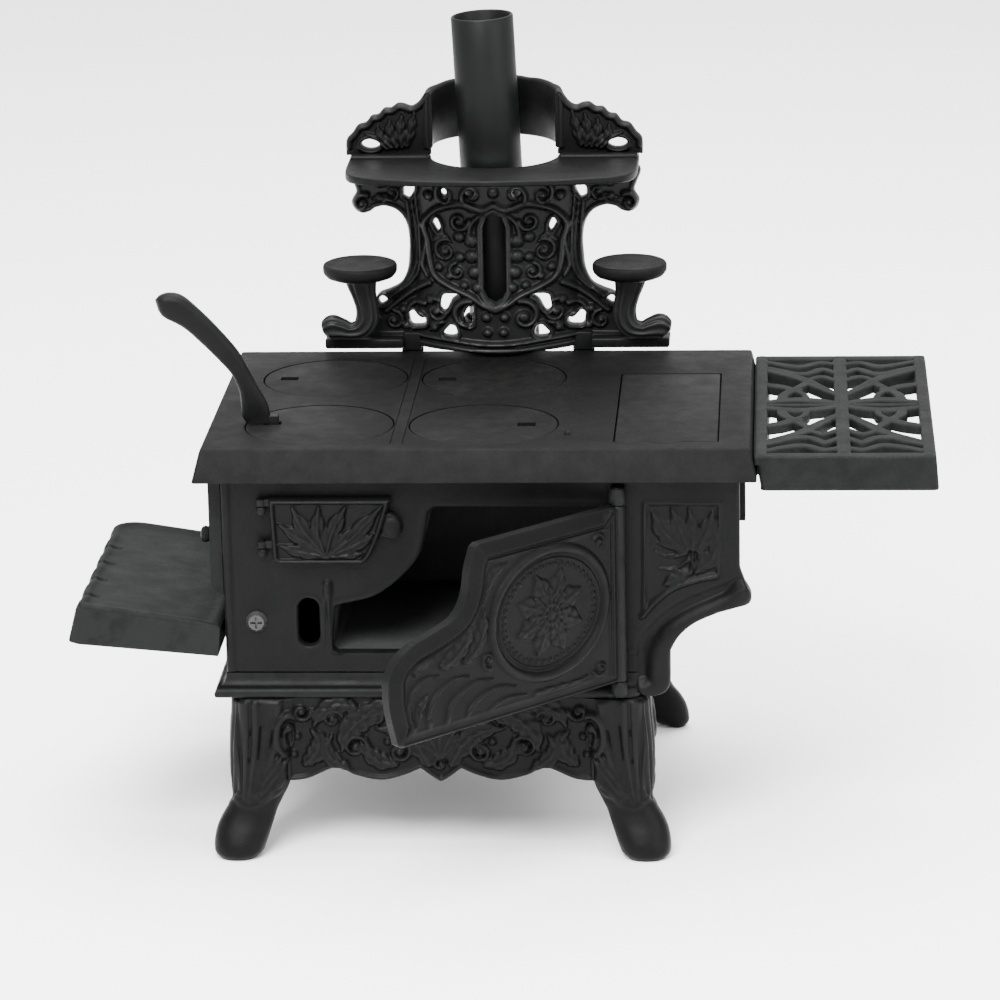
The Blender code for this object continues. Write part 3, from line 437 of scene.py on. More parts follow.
def iron(name, shade, rough=0.55, tint=(0.96, 1, 0.99), grain=0.12, grain_size=0.55,
        edge_highlight=0.35, gloss=0.09, cloud=0.12):
    """Black iron: sand-cast grain, cloudy shade and roughness, and convex edges painted paler as a
    highlight.
    """
    material = bpy.data.materials.new(name)
    material.use_nodes = True
    nodes, links = material.node_tree.nodes, material.node_tree.links
    shader = nodes["Principled BSDF"]
    where = nodes.new("ShaderNodeTexCoord").outputs["Object"]

    def noise(size_mm, detail, roughness=0.55):
        node = nodes.new("ShaderNodeTexNoise")
        node.inputs["Scale"].default_value = 1 / (size_mm * MM)
        node.inputs["Detail"].default_value = detail
        node.inputs["Roughness"].default_value = roughness
        links.new(where, node.inputs["Vector"])
        return node.outputs["Fac"]

    def span(value, low, high, to_low, to_high):
        node = nodes.new("ShaderNodeMapRange")
        for key, number in (("From Min", low), ("From Max", high), ("To Min", to_low),
                ("To Max", to_high)):
            node.inputs[key].default_value = number
        links.new(value, node.inputs["Value"])
        return node.outputs["Result"]

    def maths(kind, a, b):
        node = nodes.new("ShaderNodeMath")
        node.operation = kind
        for socket, value in zip(node.inputs, (a, b)):
            if isinstance(value, (int, float)):
                socket.default_value = value
            else:
                links.new(value, socket)
        return node.outputs[0]

    clouds = span(noise(17, 4), 0.3, 0.7, 1 - cloud, 1 + cloud)
    specks = span(noise(grain_size * 1.4, 2), 0.35, 0.7, 0.9, 1.13)
    # Painted highlight: convex edges, found by pointiness, are made paler in colour in patches.
    edges = span(nodes.new("ShaderNodeNewGeometry").outputs["Pointiness"], 0.5, 0.58, 0, edge_highlight)
    patchy = span(noise(5, 3), 0.35, 0.65, 0.3, 1)
    edge_highlight_factor = maths("ADD", 1, maths("MULTIPLY", edges, patchy))
    value = maths("MULTIPLY", maths("MULTIPLY", clouds, specks), edge_highlight_factor)
    colour = nodes.new("ShaderNodeMix")
    colour.data_type = "RGBA"
    colour.inputs["A"].default_value = (0, 0, 0, 1)
    colour.inputs["B"].default_value = (*[2 * shade * t for t in tint], 1)
    links.new(maths("MULTIPLY", value, 0.5), colour.inputs["Factor"])
    links.new(colour.outputs["Result"], shader.inputs["Base Color"])
    dull = maths("ADD", span(noise(9, 3), 0.3, 0.7, rough - 0.06, rough + 0.07),
        span(noise(grain_size, 2), 0.3, 0.7, -0.05, 0.06))
    links.new(dull, shader.inputs["Roughness"])
    bump = nodes.new("ShaderNodeBump")
    bump.inputs["Strength"].default_value = 0.6
    bump.inputs["Distance"].default_value = grain * MM
    skin = maths("ADD", noise(grain_size, 3, 0.6), maths("MULTIPLY", noise(2.6, 2), 1.1))
    links.new(skin, bump.inputs["Height"])
    links.new(bump.outputs["Normal"], shader.inputs["Normal"])
    shader.inputs["Specular IOR Level"].default_value = gloss
    return material


IRON = iron("cast_iron_black", 0.0022, 0.46, edge_highlight=1.5, gloss=0.062)
FACE = iron("cast_iron_ornament", 0.0018, 0.42, edge_highlight=5, grain=0.09,
    gloss=0.065)
PLATE = iron("hob_iron", 0.0030, 0.60, (1, 1, 0.98), grain=0.14, edge_highlight=1, gloss=0.042,
    cloud=0.07)
TRAY = iron("shelf_iron", 0.0036, 0.57, (0.92, 1, 0.99), grain=0.13, edge_highlight=1.5,
    gloss=0.055)
PIPE = iron("pipe_black_paint", 0.0026, 0.44, (0.88, 1, 0.95), grain=0.05,
    edge_highlight=0.3)
STEEL = iron("blackened_steel", 0.010, 0.34, grain=0.04, edge_highlight=0.8, gloss=0.3)
# Painted light: the iron inside the oven, tank and lid slots is about ten times paler than the
# outside, standing in for light that reaches the shaded hollows.
INSIDE_PAINTED_LIGHT = iron("cast_iron_inside_painted_light", 0.0240, 0.7, edge_highlight=0.1)
# Painted shade: a darker copy of the ornament iron for the oven door alone, which faces the key
# light.
OVEN_DOOR_PAINTED_SHADE = iron("cast_iron_oven_door_painted_shade", 0.0015, 0.46, edge_highlight=5, grain=0.10, gloss=0.055)
# Painted light: a paler, glossier copy of the iron for the back plate and trivet columns, which
# lie in the shade under the warming shelf.
UNDER_SHELF_PAINTED_LIGHT = iron("cast_iron_under_shelf_painted_light", 0.0050, 0.38, edge_highlight=3, grain=0.09,
    gloss=0.11)


# ------------------------------ machined solids
def solid_mesh(points, faces):
    """A mesh whose faces all look outwards."""
    mesh = bpy.data.meshes.new("shape")
    mesh.from_pydata([tuple(p) for p in world(points)], [], faces)
    bm = bmesh.new()
    bm.from_mesh(mesh)
    bmesh.ops.recalc_face_normals(bm, faces=bm.faces)
    bm.to_mesh(mesh)
    bm.free()
    return mesh


def prism(outline, low, high):
    """A flat outline in X and Y, from one height to another."""
    outline = np.asarray(outline, float)
    n = len(outline)
    points = np.vstack([np.c_[outline, np.full(n, z)] for z in (low, high)])
    faces = [list(range(n))[::-1], list(range(n, 2 * n))]
    faces += [[i, (i + 1) % n, n + (i + 1) % n, n + i] for i in range(n)]
    return solid_mesh(points, faces)


def box(low, high, taper=(0, 0, 0, 0)):
    """A box; taper moves the bottom's -X, +X, -Y and +Y sides outwards."""
    (x0, y0, z0), (x1, y1, z1) = low, high
    a, b, c, d = taper
    points = [(x0 - a, y0 - c, z0), (x1 + b, y0 - c, z0), (x1 + b, y1 + d, z0),
        (x0 - a, y1 + d, z0), (x0, y0, z1), (x1, y0, z1), (x1, y1, z1), (x0, y1, z1)]
    faces = [(3, 2, 1, 0), (4, 5, 6, 7), (0, 1, 5, 4), (1, 2, 6, 5), (2, 3, 7, 6), (3, 0, 4, 7)]
    return solid_mesh(points, faces)


def machined(name, mesh, cuts, material, body="stove", edge=0.5, segments=3, sharp=40):
    """A solid with its edges rounded and pockets cut from it, its modifiers applied."""
    obj = bpy.data.objects.new(name, mesh)
    bpy.context.scene.collection.objects.link(obj)
    tools = []
    if edge:
        bevel = obj.modifiers.new("Edges", "BEVEL")
        bevel.width, bevel.segments = edge * MM, segments
        bevel.limit_method, bevel.angle_limit = "ANGLE", math.radians(30)
    for cut in cuts:
        tool = bpy.data.objects.new("cut", cut)
        bpy.context.scene.collection.objects.link(tool)
        tools.append(tool)
        modifier = obj.modifiers.new("Cut", "BOOLEAN")
        modifier.operation, modifier.object = "DIFFERENCE", tool
    graph = bpy.context.evaluated_depsgraph_get()
    final = bpy.data.meshes.new_from_object(obj.evaluated_get(graph))
    for old in tools + [obj]:
        bpy.data.objects.remove(old, do_unlink=True)
    return place_object(name, final, material, body, sharp)


def block(name, low, high, material=IRON, body="stove", edge=0.4):
    """A plain block with rounded edges."""
    return machined(name, box(low, high), [], material, body, edge=edge)


def disc(x, y, radius, low, high):
    """An upright cylinder from one height to another."""
    return prism(arc((x, y), radius, 0, 360, 96)[:-1], low, high)


def facing(y, way=-1):
    """A casting's place in an upright plane across the stove: its face looks towards way."""
    return lambda u, v, h: np.stack([u, y + way * h, v], 1)


def facing_side(x, way):
    """A casting's place in an upright plane along the stove's side."""
    return lambda u, v, h: np.stack([x + way * h, u, v], 1)


SIDES = (("left", -1), ("right", 1))


# ------------------------------ hob
LIDS = {"front_left": (38.9, 32), "front_right": (96.9, 32), "back_left": (38.9, 94.9),
    "back_right": (96.9, 94.9)}
LID_R, LID_THICK, LID_GAP, LEDGE = 26.1, 3, 0.42, 3.2
RESERVOIR = ((143.6, 9.6), (179.4, 99.6))
FLUE, FLUE_R = (97, 141.5), 9.5


def hob():
    """The hob with its sloping rim, lid holes, reservoir opening and flue boss."""
    plate = box((0, 0, HOB_Z - RIM_DROP), (HOB_W, HOB_D, HOB_Z),
        (RIM_SIDE, RIM_SIDE, RIM_FRONT, 0))
    flue = disc(*FLUE, FLUE_R, HOB_Z - 8, HOB_Z + 4)
    cuts = [box((3, 2.9, HOB_Z - RIM_DROP - 1), (HOB_W - 3, HOB_D - 3, HOB_Z - 5.2),
        (2.4, 2.4, 5.4, 0)), flue]
    for x, y in LIDS.values():
        cuts.append(disc(x, y, LID_R + LID_GAP, HOB_Z - LID_THICK - 0.3, HOB_Z + 2))
        cuts.append(disc(x, y, LID_R - LEDGE, HOB_Z - 6, HOB_Z + 1))
    (x0, y0), (x1, y1) = RESERVOIR
    cuts.append(prism(reservoir_outline(0.45), HOB_Z - LID_THICK - 0.3, HOB_Z + 2))
    cuts.append(box((x0 + 2.6, y0 + 2.6, HOB_Z - 6), (x1 - 2.6, y1 - 2.6, HOB_Z + 1)))
    for x in (65.8, 70):      # two scribed lines between the lids
        cuts.append(box((x - 0.22, 7, HOB_Z - 0.35), (x + 0.22, 122, HOB_Z + 1)))
    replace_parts(machined("hob", plate, cuts, PLATE, edge=0.8), "top_plate")
    x, y = FLUE
    boss = prism(np.vstack([[(x - 16.5, 134.4)], arc(FLUE, 16.5, 180, 0, 32),
        [(x + 16.5, 134.4)]]), HOB_Z - 5, HOB_Z)
    machined("flue_boss", boss, [flue], PLATE)
    turned("hob_nub", [(0.02, HOB_Z - 0.4), (1.3, HOB_Z - 0.3), (1.25, HOB_Z + 0.5),
        (0.7, HOB_Z + 1.1), (0.02, HOB_Z + 1.25)], (127, 19.4, 0), PLATE, segments=24)


def lids():
    """The four round lids, each with the slot that the lifter's tongue goes in."""
    slots = {"front_left": (-0.65, 0.10), "back_left": (-0.65, 0), "back_right": (-0.65, -0.05),
        "front_right": (0.58, 0)}
    profile = [(0.02, HOB_Z - LID_THICK), (LID_R - 0.4, HOB_Z - LID_THICK), (LID_R, HOB_Z - 2.6),
        (LID_R, HOB_Z - 0.55), (LID_R - 0.18, HOB_Z - 0.16), (LID_R - 0.6, HOB_Z), (0.02, HOB_Z)]
    for place, (x, y) in LIDS.items():
        body = "lid_" + place
        blank = turned("blank", profile, (x, y, 0), PLATE, body, segments=128)
        mesh = blank.data
        bpy.data.objects.remove(blank, do_unlink=True)
        dx, dy = slots[place]
        sx, sy = x + dx * LID_R, y + dy * LID_R
        slot = box((sx - 3.2, sy - 2.1, HOB_Z - 2.2), (sx + 3.2, sy + 2.1, HOB_Z + 2))
        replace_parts(machined("lid_plate_" + place, mesh, [slot], PLATE, body, edge=0), body)
        # A thin sheet on each slot's floor in the paler interior iron: painted light in the slot's
        # shade.
        block("lid_pocket_" + place, (sx - 3.1, sy - 2, HOB_Z - 2.18),
            (sx + 3.1, sy + 2, HOB_Z - 1.9), INSIDE_PAINTED_LIGHT, body, edge=0)


def reservoir_outline(gap):
    """The reservoir lid's edge, with a shallow bowed lip in the middle of its front."""
    (x0, y0), (x1, y1) = RESERVOIR
    middle, front, reach, bulge = (x0 + x1) / 2, y0 - 1.5 * gap, 7.5, 2.6
    lip = [(middle + t, y0 - bulge * math.cos(math.pi * t / (2 * reach)) ** 2 - 1.5 * gap)
        for t in np.linspace(-reach, reach, 17)]
    return np.vstack([[(x0 - gap, front)], lip, [(x1 + gap, front), (x1 + gap, y1 + gap),
        (x0 - gap, y1 + gap)]])


def reservoir_lid():
    mesh = prism(reservoir_outline(0), HOB_Z - LID_THICK, HOB_Z)
    lid = machined("reservoir_cover", mesh, [], PLATE, "reservoir_lid")
    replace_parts(lid, "reservoir_lid")


def lifter():
    """The lid lifter: a paddle-ended handle swept along a bent line."""
    back = smooth([(21.5, 149.4), (20.6, 155.8), (15.7, 165.7), (11.1, 174.8), (3.8, 183.9),
        (-2.8, 190.8), (-8.3, 195.6), (-13, 196.7), (-18.4, 195.6)], 6)
    front = smooth([(12.6, 149.4), (11.2, 151.9), (11, 156), (10.6, 160.9), (8.3, 166.8),
        (3.9, 172.1), (-1.6, 177.9), (-8.2, 184), (-16.6, 188.6)], 6)
    take = np.linspace(0, 1, 44)

    def along(path):
        """Evenly spaced points on a path."""
        gap = np.hypot(*np.diff(path, axis=0).T)
        at = np.concatenate([[0], np.cumsum(gap)]) / gap.sum()
        return np.stack([np.interp(take, at, path[:, k]) for k in (0, 1)], 1)

    tip = 0.93      # the share of its length where the rounded end starts
    y = LIDS["front_left"][1] + 0.10 * LID_R
    angle = full_turn(28)
    rings = []
    for t, a, b in zip(take, along(back), along(front)):
        centre, half = (a + b) / 2, (a - b) / 2
        end = math.sqrt(max(1 - max(0, (t - tip) / (1 - tip)) ** 2, 0.003))
        thick = (2.3 + 1.5 * t) * end
        c = squarish(np.cos(angle), 0.7)
        s = squarish(np.sin(angle), 0.7)
        xz = centre + c[:, None] * half * (0.98 if t < tip else 0.55 + 0.43 * end)
        rings.append(np.stack([xz[:, 0], y + thick * s, xz[:, 1]], 1))
    handle = loft("lifter_handle", rings, IRON, "lid_lifter", 60)
    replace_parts(handle, "lid_lifter")
    x = LIDS["front_left"][0] - 0.65 * LID_R
    block("lifter_tongue", (x - 2.3, y - 1.3, 147), (x + 2.3, y + 1.3, 152), body="lid_lifter")


# ------------------------------ front
BODY_BOTTOM, BODY_TOP = (point.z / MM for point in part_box("front_panel"))
PANEL_Y = 3.25
DOOR_HINGE = (144.8, -1.85)
DOOR_ANGLE = math.radians(44.5)
FIRE_HINGE = (20.8, 0.8)


def knuckle(name, z, tall, radius, chamfer, body="stove"):
    """One barrel on the firebox door's hinge line."""
    turned(name, [(0.02, z), (1.4, z), (radius, z + chamfer), (radius, z + tall - chamfer),
        (1.4, z + tall), (0.02, z + tall)], (*FIRE_HINGE, 0), IRON, body, segments=24)


def right_profile():
    """The front casting's right edge, stepping in under the reservoir."""
    return np.vstack([[(187, BODY_TOP), (187, 104.6)], smooth([(188.6, 100), (190.9, 95.6),
        (190.2, 92), (186, 91)], 5), smooth([(179.6, 89.3), (171.4, 85.6), (165.8, 80.8),
        (162.7, 75.4)], 5), [(162.6, 71), (162.6, BODY_BOTTOM)]])


def oven_opening():
    """The oven's mouth, whose left side curves in under the firebox."""
    curve = smooth([(79, 125.3), (76.2, 111.8), (70.1, 103.1), (59.5, 94.9), (45.4, 91.2)], 8)
    return np.vstack([[(80.9, 127.3)], curve, [(44.2, 75.6), (45.8, 74.3), (138.5, 74.3),
        (138.5, 127.3)]])


def front_casting():
    """The front plate with its openings, mouldings, right-hand panel and hinge lugs."""
    foot = smooth([(162.6, 66), (162.4, 62.6), (160.8, 59.9), (157.6, 58.6), (153.4, 58.6),
        (151.2, 60.2), (150.6, 63), (150.4, BODY_BOTTOM)], 5)
    c = Casting(np.vstack([right_profile(), foot, [(6.3, BODY_BOTTOM), (6.3, BODY_TOP)]]), 0.5)
    frame_line = np.vstack([[(153.4, 129.2), (180.8, 129.1), (180.2, 102.2)],
        smooth([(180.2, 102.2), (172, 100.6), (163.6, 97.5), (157.5, 92.6), (152.8, 87.2)],
        6)[1:]])
    c.line_inside(frame_line, 0.7, 0.9, 1.1)
    c.ridge(frame_line[3:], 1.2, 1.6)
    c.ridge(smooth([(153.4, 60.6), (156.6, 60.8), (158.8, 63.6), (159.2, 72), (160.6, 76.6),
        (164.6, 81.6), (170.6, 85.6), (178.6, 89.4), (184.6, 92.6), (188.2, 96.6)], 6), 4.6, 2.6,
        power=0.8)
    c.groove(smooth([(152.6, 64), (152.6, 76), (155.8, 81.4), (162, 87.6), (170, 92.6),
        (180, 96.6), (186.6, 99.4)], 6), 2.4, 0.8)
    # acanthus in the right-hand panel
    c.leaves((([(168, 111.6), (161.4, 117.6), (156.4, 125.8)], 4),
        ([(169, 112.4), (166.4, 119), (163.4, 127)], 3.4),
        ([(170.6, 112), (170.6, 119.4), (169.4, 127)], 2.4),
        ([(172.4, 111.6), (175.6, 118.4), (177.8, 125.8)], 3.6),
        ([(172, 104), (177, 108), (178.8, 114.4), (178.6, 120.6)], 2.9),
        ([(171.6, 103.6), (173.6, 107.6), (174, 113)], 2.2),
        ([(169.6, 103.8), (164.8, 101.6), (160.2, 98.6)], 2.6)), 1.7, 3)
    for path in ([(156.6, 115.2), (161.8, 112.8), (167.6, 111.9)],
            [(157.2, 111.2), (162.8, 109.2), (168.4, 110.6)], [(158.6, 105), (164, 104.8),
            (169.4, 108.4)]):
        c.ridge(smooth(path, 8), 1.5, 2, (0.15, 0.6), power=0.8)
    c.ridge(smooth([(170.4, 124), (170.8, 114), (170, 103.4)], 8), 1.1, 2, (0.3, 0.8))
    c.ridge([(8, BODY_BOTTOM), (8, BODY_TOP)], 1.5, 0.55)
    c.groove([(10.2, BODY_BOTTOM), (10.2, BODY_TOP)], 0.6, 0.35)
    c.ridge(smooth([(43, 95.8), (43.3, 86), (43.5, 76.6), (44.8, 74.4), (47.8, 73.9)], 6), 0.9,
        1.2)
    c.ridge(smooth([(41.6, 95), (41.3, 86), (41, 77), (40, 73.6)], 6), 0.6, 0.6)
    c.ridge([(42.8, 99.2), (42.8, 95.4)], 1.7, 1.6, power=0.6)
    c.ridge([(46, 73.9), (150, 73.9)], 0.8, 0.6)
    c.pierce(oven_opening(), 0.25, 1.4)
    firebox_mouth = [(27, 112), (27, 128.4), (61, 128.4), (55.6, 112)]
    c.pierce(firebox_mouth)
    draught_slot = np.vstack([arc((35.9, 90.2), 3.75, 0, 180, 12),
        arc((35.9, 80.2), 3.75, 180, 360, 12)])
    c.pierce(draught_slot, 0.3, 0.9)
    c.pierce(arc((17.6, 85.7), 2, 0, 360, 24)[:-1])     # the front screw's hole
    c.soften()
    panel = c.solid("front_casting", facing(PANEL_Y), 3.5, IRON, rounding=0.8)
    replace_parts(panel, "front_panel")
    hx, hy = DOOR_HINGE
    boss = [(0.02, 129.75), (2.7, 129.75), (3, 130.2), (2.9, 133.2), (2.2, 135.3), (0.02, 136)]
    turned("door_lug_top", boss, (hx, hy + 0.2, 0), IRON, segments=36)
    block("door_lug_arm", (hx - 2.6, hy + 0.4, 129.8), (hx + 2.6, PANEL_Y + 0.5, 135.4), edge=0.9)
    fx, fy = FIRE_HINGE
    for name, z in (("low", 110.4), ("high", 125.6)):
        knuckle("fire_lug_" + name, z, 2.6, 1.7, 0.4)
        block("fire_arm_" + name, (fx - 1.2, fy, z), (fx + 1.2, PANEL_Y + 0.4, z + 2.6))
    block("oven_floor_edge", (47, 75.4, 74.5), (136, 76.6, 75.5), TRAY, edge=0.3)


def oven_door():
    """The open oven door: a drafted border, a ringed rosette, wave fronds and leaves."""
    edge = smooth([(79, 128.4), (76.4, 121.4), (75, 113.8), (72.4, 108.5), (68.2, 105),
        (59.9, 102.5), (51.7, 100.5), (45.9, 97.9), (42.2, 94.6), (40.2, 91), (39.6, 86.7),
        (40.2, 78.7), (43.2, 66.6)], 6)
    right = 143.6
    outline = np.vstack([[(right, 129.4), (80.6, 129.4)], edge, [(44.6, 65.5), (right, 65.5)]])
    c = Casting(outline, 0.4)
    inset = -c.edge
    # the drafted border is broad along the top and the curved side, narrow at the foot and at
    # the hinge
    u, v = c.grid[..., 0], c.grid[..., 1]
    broad = unit((v - 67) / 6) * unit((140.5 - u) / 4)
    width = 1.2 + 3.9 * broad
    ground = 2 * (unit(inset / (width * 0.94)) ** 0.9 - 1)
    ground -= 0.95 * unit(1 - ((inset - width - 0.5) / 0.75) ** 2)
    ground -= 0.55 * unit(inset - width - 0.6)
    c.ridge([(140.9, 125.6), (140.9, 69)], 0.7, 0.8)
    c.ridge([(138.8, 125.6), (138.8, 69)], 0.5, 0.5)
    c.ridge([(86.6, 122.6), (138, 122.6)], 0.5, 0.5)
    # round medallion: a broad open ring, a fine inner ring and a rosette
    middle, radii = (110.6, 98.6), (26.2, 22.6)
    c.ridge(arc(middle, radii, 0, 360, 80), 1.9, 1.5, power=0.8)
    c.ridge(arc(middle, (radii[0] - 3.4, radii[1] - 3.4), 0, 360, 80), 0.6, 0.8)
    for a in full_turn(44):
        ray = np.array([math.cos(a), math.sin(a)])
        c.bead(middle + (np.array(radii) - 5.6) * ray, 0.8, 0.9)
    for count, reach, width, height, turn in ((8, 15.6, 4.6, 1.5, 0.5), (8, 9.6, 3.4, 2, 0)):
        for k in range(count):
            a = 2 * math.pi * (k + turn) / count
            ray = np.array([math.cos(a), math.sin(a)])
            rib = [middle + t * ray for t in (2, 0.55 * reach, reach)]
            c.leaf(smooth(rib, 6), width, height, 3)
    c.ridge(arc(middle, 3.4, 0, 360, 32), 0.9, 2)
    c.bead(middle, 2.3, 2.3)
    # fronds breaking like waves from the lower left corner
    waves = (([(48.6, 70.6), (46.8, 77), (48.4, 83.6), (54, 88), (60.6, 87.6)], 2.9),
        ([(56, 70), (55.6, 76), (59.6, 81.6), (66.4, 84.8), (74, 84.6)], 2.8),
        ([(63.8, 70), (65, 75), (70, 79.4), (77, 81.8), (84.6, 81)], 2.6),
        ([(72.4, 70), (75, 73.6), (80.6, 76.6), (88, 77.6), (95, 75.8)], 2.2),
        ([(82.6, 69.8), (86.6, 71.8), (92.6, 72.8), (99.6, 71.8)], 1.6))
    for path, width in waves:
        line = smooth(path, 8)
        c.ridge(line, width, 1.9, (0.5, 0.12), power=0.8)
        c.groove(line[8:] - (0.2, width * 0.9), 0.8, 0.5)
    c.leaf(smooth([(50, 72), (51.6, 77.6), (55.6, 82.4)], 8), 1.7, 1.7, 3)
    c.leaves((([(62, 90.6), (67.6, 93), (72.6, 97.4), (75.6, 103)], 3.4),
        ([(72, 90), (77.4, 94), (80.2, 100), (81, 107)], 2.9),
        ([(80, 108.6), (82.4, 114), (86.4, 118.4), (92, 120.6)], 2.5),
        ([(50, 90.6), (54, 94), (60, 96.4), (66, 97.4)], 2.2),
        ([(103.6, 71), (112, 70), (120, 70.2), (128, 72)], 2)), 1.6, 4)
    c.scroll((82.6, 88.2), 3.4, -80, -1.2, 1, 1.2)
    c.scroll((133.6, 73.2), 3.2, 200, 1.3, 1, 1.4)
    c.scroll((133.8, 119.2), 2.8, 150, -1.3, 0.9, 1.3)
    c.height *= unit((inset - (2.2 + 4.2 * broad)) / 0.8)
    c.height = np.clip(c.height, 0, 2.3)
    c.soften()
    c.height += ground
    hx, hy = DOOR_HINGE
    cos, sin = math.cos(DOOR_ANGLE), math.sin(DOOR_ANGLE)

    def place(u, v, h):
        """Onto the door's plane, turned open about its hinge."""
        x, y = u - hx, -2.8 - h
        return np.stack([hx + x * cos - y * sin, hy + x * sin + y * cos, v], 1)

    # The door's casting takes the darker copy of the ornament iron, painted shade against the key
    # light.
    door = c.solid("oven_door_casting", place, 5.4, OVEN_DOOR_PAINTED_SHADE, rounding=0, body="oven_door", sharp=32)
    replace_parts(door, "oven_door")
    barrel = [(0.02, 65.5), (2.3, 65.5), (2.75, 66), (2.75, 128.9), (2.3, 129.4), (0.02, 129.4)]
    turned("oven_door_barrel", barrel, (hx, hy, 0), IRON, "oven_door", segments=40)


def firebox_door():
    """The firebox door: a spray of leaves inside a rounded rim, a thumb tab and two knuckles."""
    x, y = FIRE_HINGE
    edge = smooth([(66.3, 131.4), (62.6, 119.5), (58.8, 110.9), (56.1, 107.7)], 6)
    outline = np.vstack([[(23.4, 131.4)], edge, [(26.2, 107.6), (24.4, 109.4)]])
    c = Casting(outline, 0.34)
    c.border(1.1, 1, 1.3)
    inset = -c.edge
    rim = c.height.copy()
    c.height = np.zeros_like(rim)
    root = (43.2, 111)
    for tip, side, width in (((62.8, 128.6), (52.4, 117.6), 3.4),
            ((50.6, 129), (45.6, 119.4), 3.3), ((41, 129.2), (40.6, 119.4), 3),
            ((31.4, 129), (36.4, 119.2), 3.4), ((26.4, 122.6), (34, 117.4), 3),
            ((26.4, 114.8), (34, 112.4), 2.6), ((61.6, 119.4), (52.2, 114.2), 2.9),
            ((56.6, 112), (50, 111), 2.2)):
        c.leaf(smooth([root, side, tip], 8), width, 2, 3)
    c.bead(root, 2.2, 1.9)
    c.height *= unit((inset - 1.8) / 0.6)
    c.height = np.maximum(c.height, rim)
    c.soften()
    door = c.solid("firebox_door_casting", facing(y - 1.2), 3.2, FACE, rounding=0.5,
        body="firebox_door")
    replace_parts(door, "firebox_door")
    block("firebox_door_back", (25.4, y + 0.9, 109.6), (58, y + 2, 130.4), body="firebox_door",
        edge=0.3)
    tab = smooth([(62, 117.6), (66.4, 116.6), (69.2, 118.4), (69.8, 121.4), (67.6, 124.9),
        (64, 125.6), (62, 117.6)], 5)[:-1]
    grip = Casting(tab, 0.3)
    grip.bead((66.2, 121), 3.2, 0.9)
    grip.solid("firebox_door_tab", facing(y - 0.9), 2.4, IRON, rounding=0.9, body="firebox_door")
    for name, z in (("low", 113.3), ("high", 128.5)):
        knuckle("fire_knuckle_" + name, z, 2.7, 1.75, 0.3, "firebox_door")
        block("fire_strap_" + name, (x, y - 1.1, z), (25.6, y + 1, z + 2.7), body="firebox_door")


# ------------------------------ base and legs
BASE_L, BASE_R, BASE_F, BASE_B = 2.1, 162.6, -0.7, 133.9
BASE_SIDE = 158.6       # the right side of the rim, behind the front rail
APRON_IN, APRON_TOP = 12, 58.6
LEG_X, LEG_Y = 81.3, 66.6       # the planes that the legs mirror about
REAR_SPLAY = 4


def base_ring():
    """The base's rim: a coved slope down from the body to a rounded lip."""
    profile = [(0.9, 58.3), (0.3, 58.6), (0, 59.2), (0, 60.2), (0.4, 61), (1.1, 61.8)]
    profile += [(1.1 + 3 * math.sin(t), 61.8 + 4.7 * (1 - math.cos(t)))
        for t in np.linspace(0.15, math.pi / 2, 8)]
    front, sides = [], []
    end = BASE_R - 12.6
    for inset, z in profile:
        right = inset * 0.12
        front.append([(BASE_L + inset, BASE_F + inset * 0.96, z),
            (end - 1.4, BASE_F + inset * 0.96, z), (end + 1, BASE_F + 1.6 + inset * 0.6, z),
            (end + 2.4, 4.4, z), (end + 2.4, 8, z), (BASE_L + inset, 8, z)])
        sides.append([(BASE_L + inset, 7.4, z), (BASE_SIDE - right, 7.4, z),
            (BASE_SIDE - right, BASE_B - inset, z), (BASE_L + inset, BASE_B - inset, z)])
    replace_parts(loft("base_rail", front, IRON, sharp=50), "base_frame")
    loft("base_rim", sides, IRON, sharp=50)
    hx, hy = DOOR_HINGE
    turned("door_lug_low", [(0.02, 59.6), (2.2, 59.8), (2.9, 60.8), (2.9, 64.8), (2.5, 65.3),
        (0.02, 65.3)], (hx, hy, 0), IRON, segments=36)
    block("door_lug_low_arm", (hx - 2.7, hy, 60), (hx + 2.7, 2.2, 65.1), edge=0.8)


def apron_outline(low, high):
    """Scallops from one leg to the other, with a pointed drop in the middle."""
    middle, half = (low + high) / 2, (high - low) / 2
    wave = smooth([(1, 27), (0.86, 28), (0.68, 32), (0.55, 29.2), (0.39, 27.4),
        (0.25, 29), (0.13, 31.8)], 6)
    wave = np.vstack([wave, smooth([(0.13, 31.8), (0.06, 28.8), (0, 26.7)], 4)[1:]])
    left = np.stack([middle - half * wave[:, 0], wave[:, 1]], 1)
    return np.vstack([[(low, APRON_TOP)], left, flip(left[:-1], middle), [(high, APRON_TOP)]])


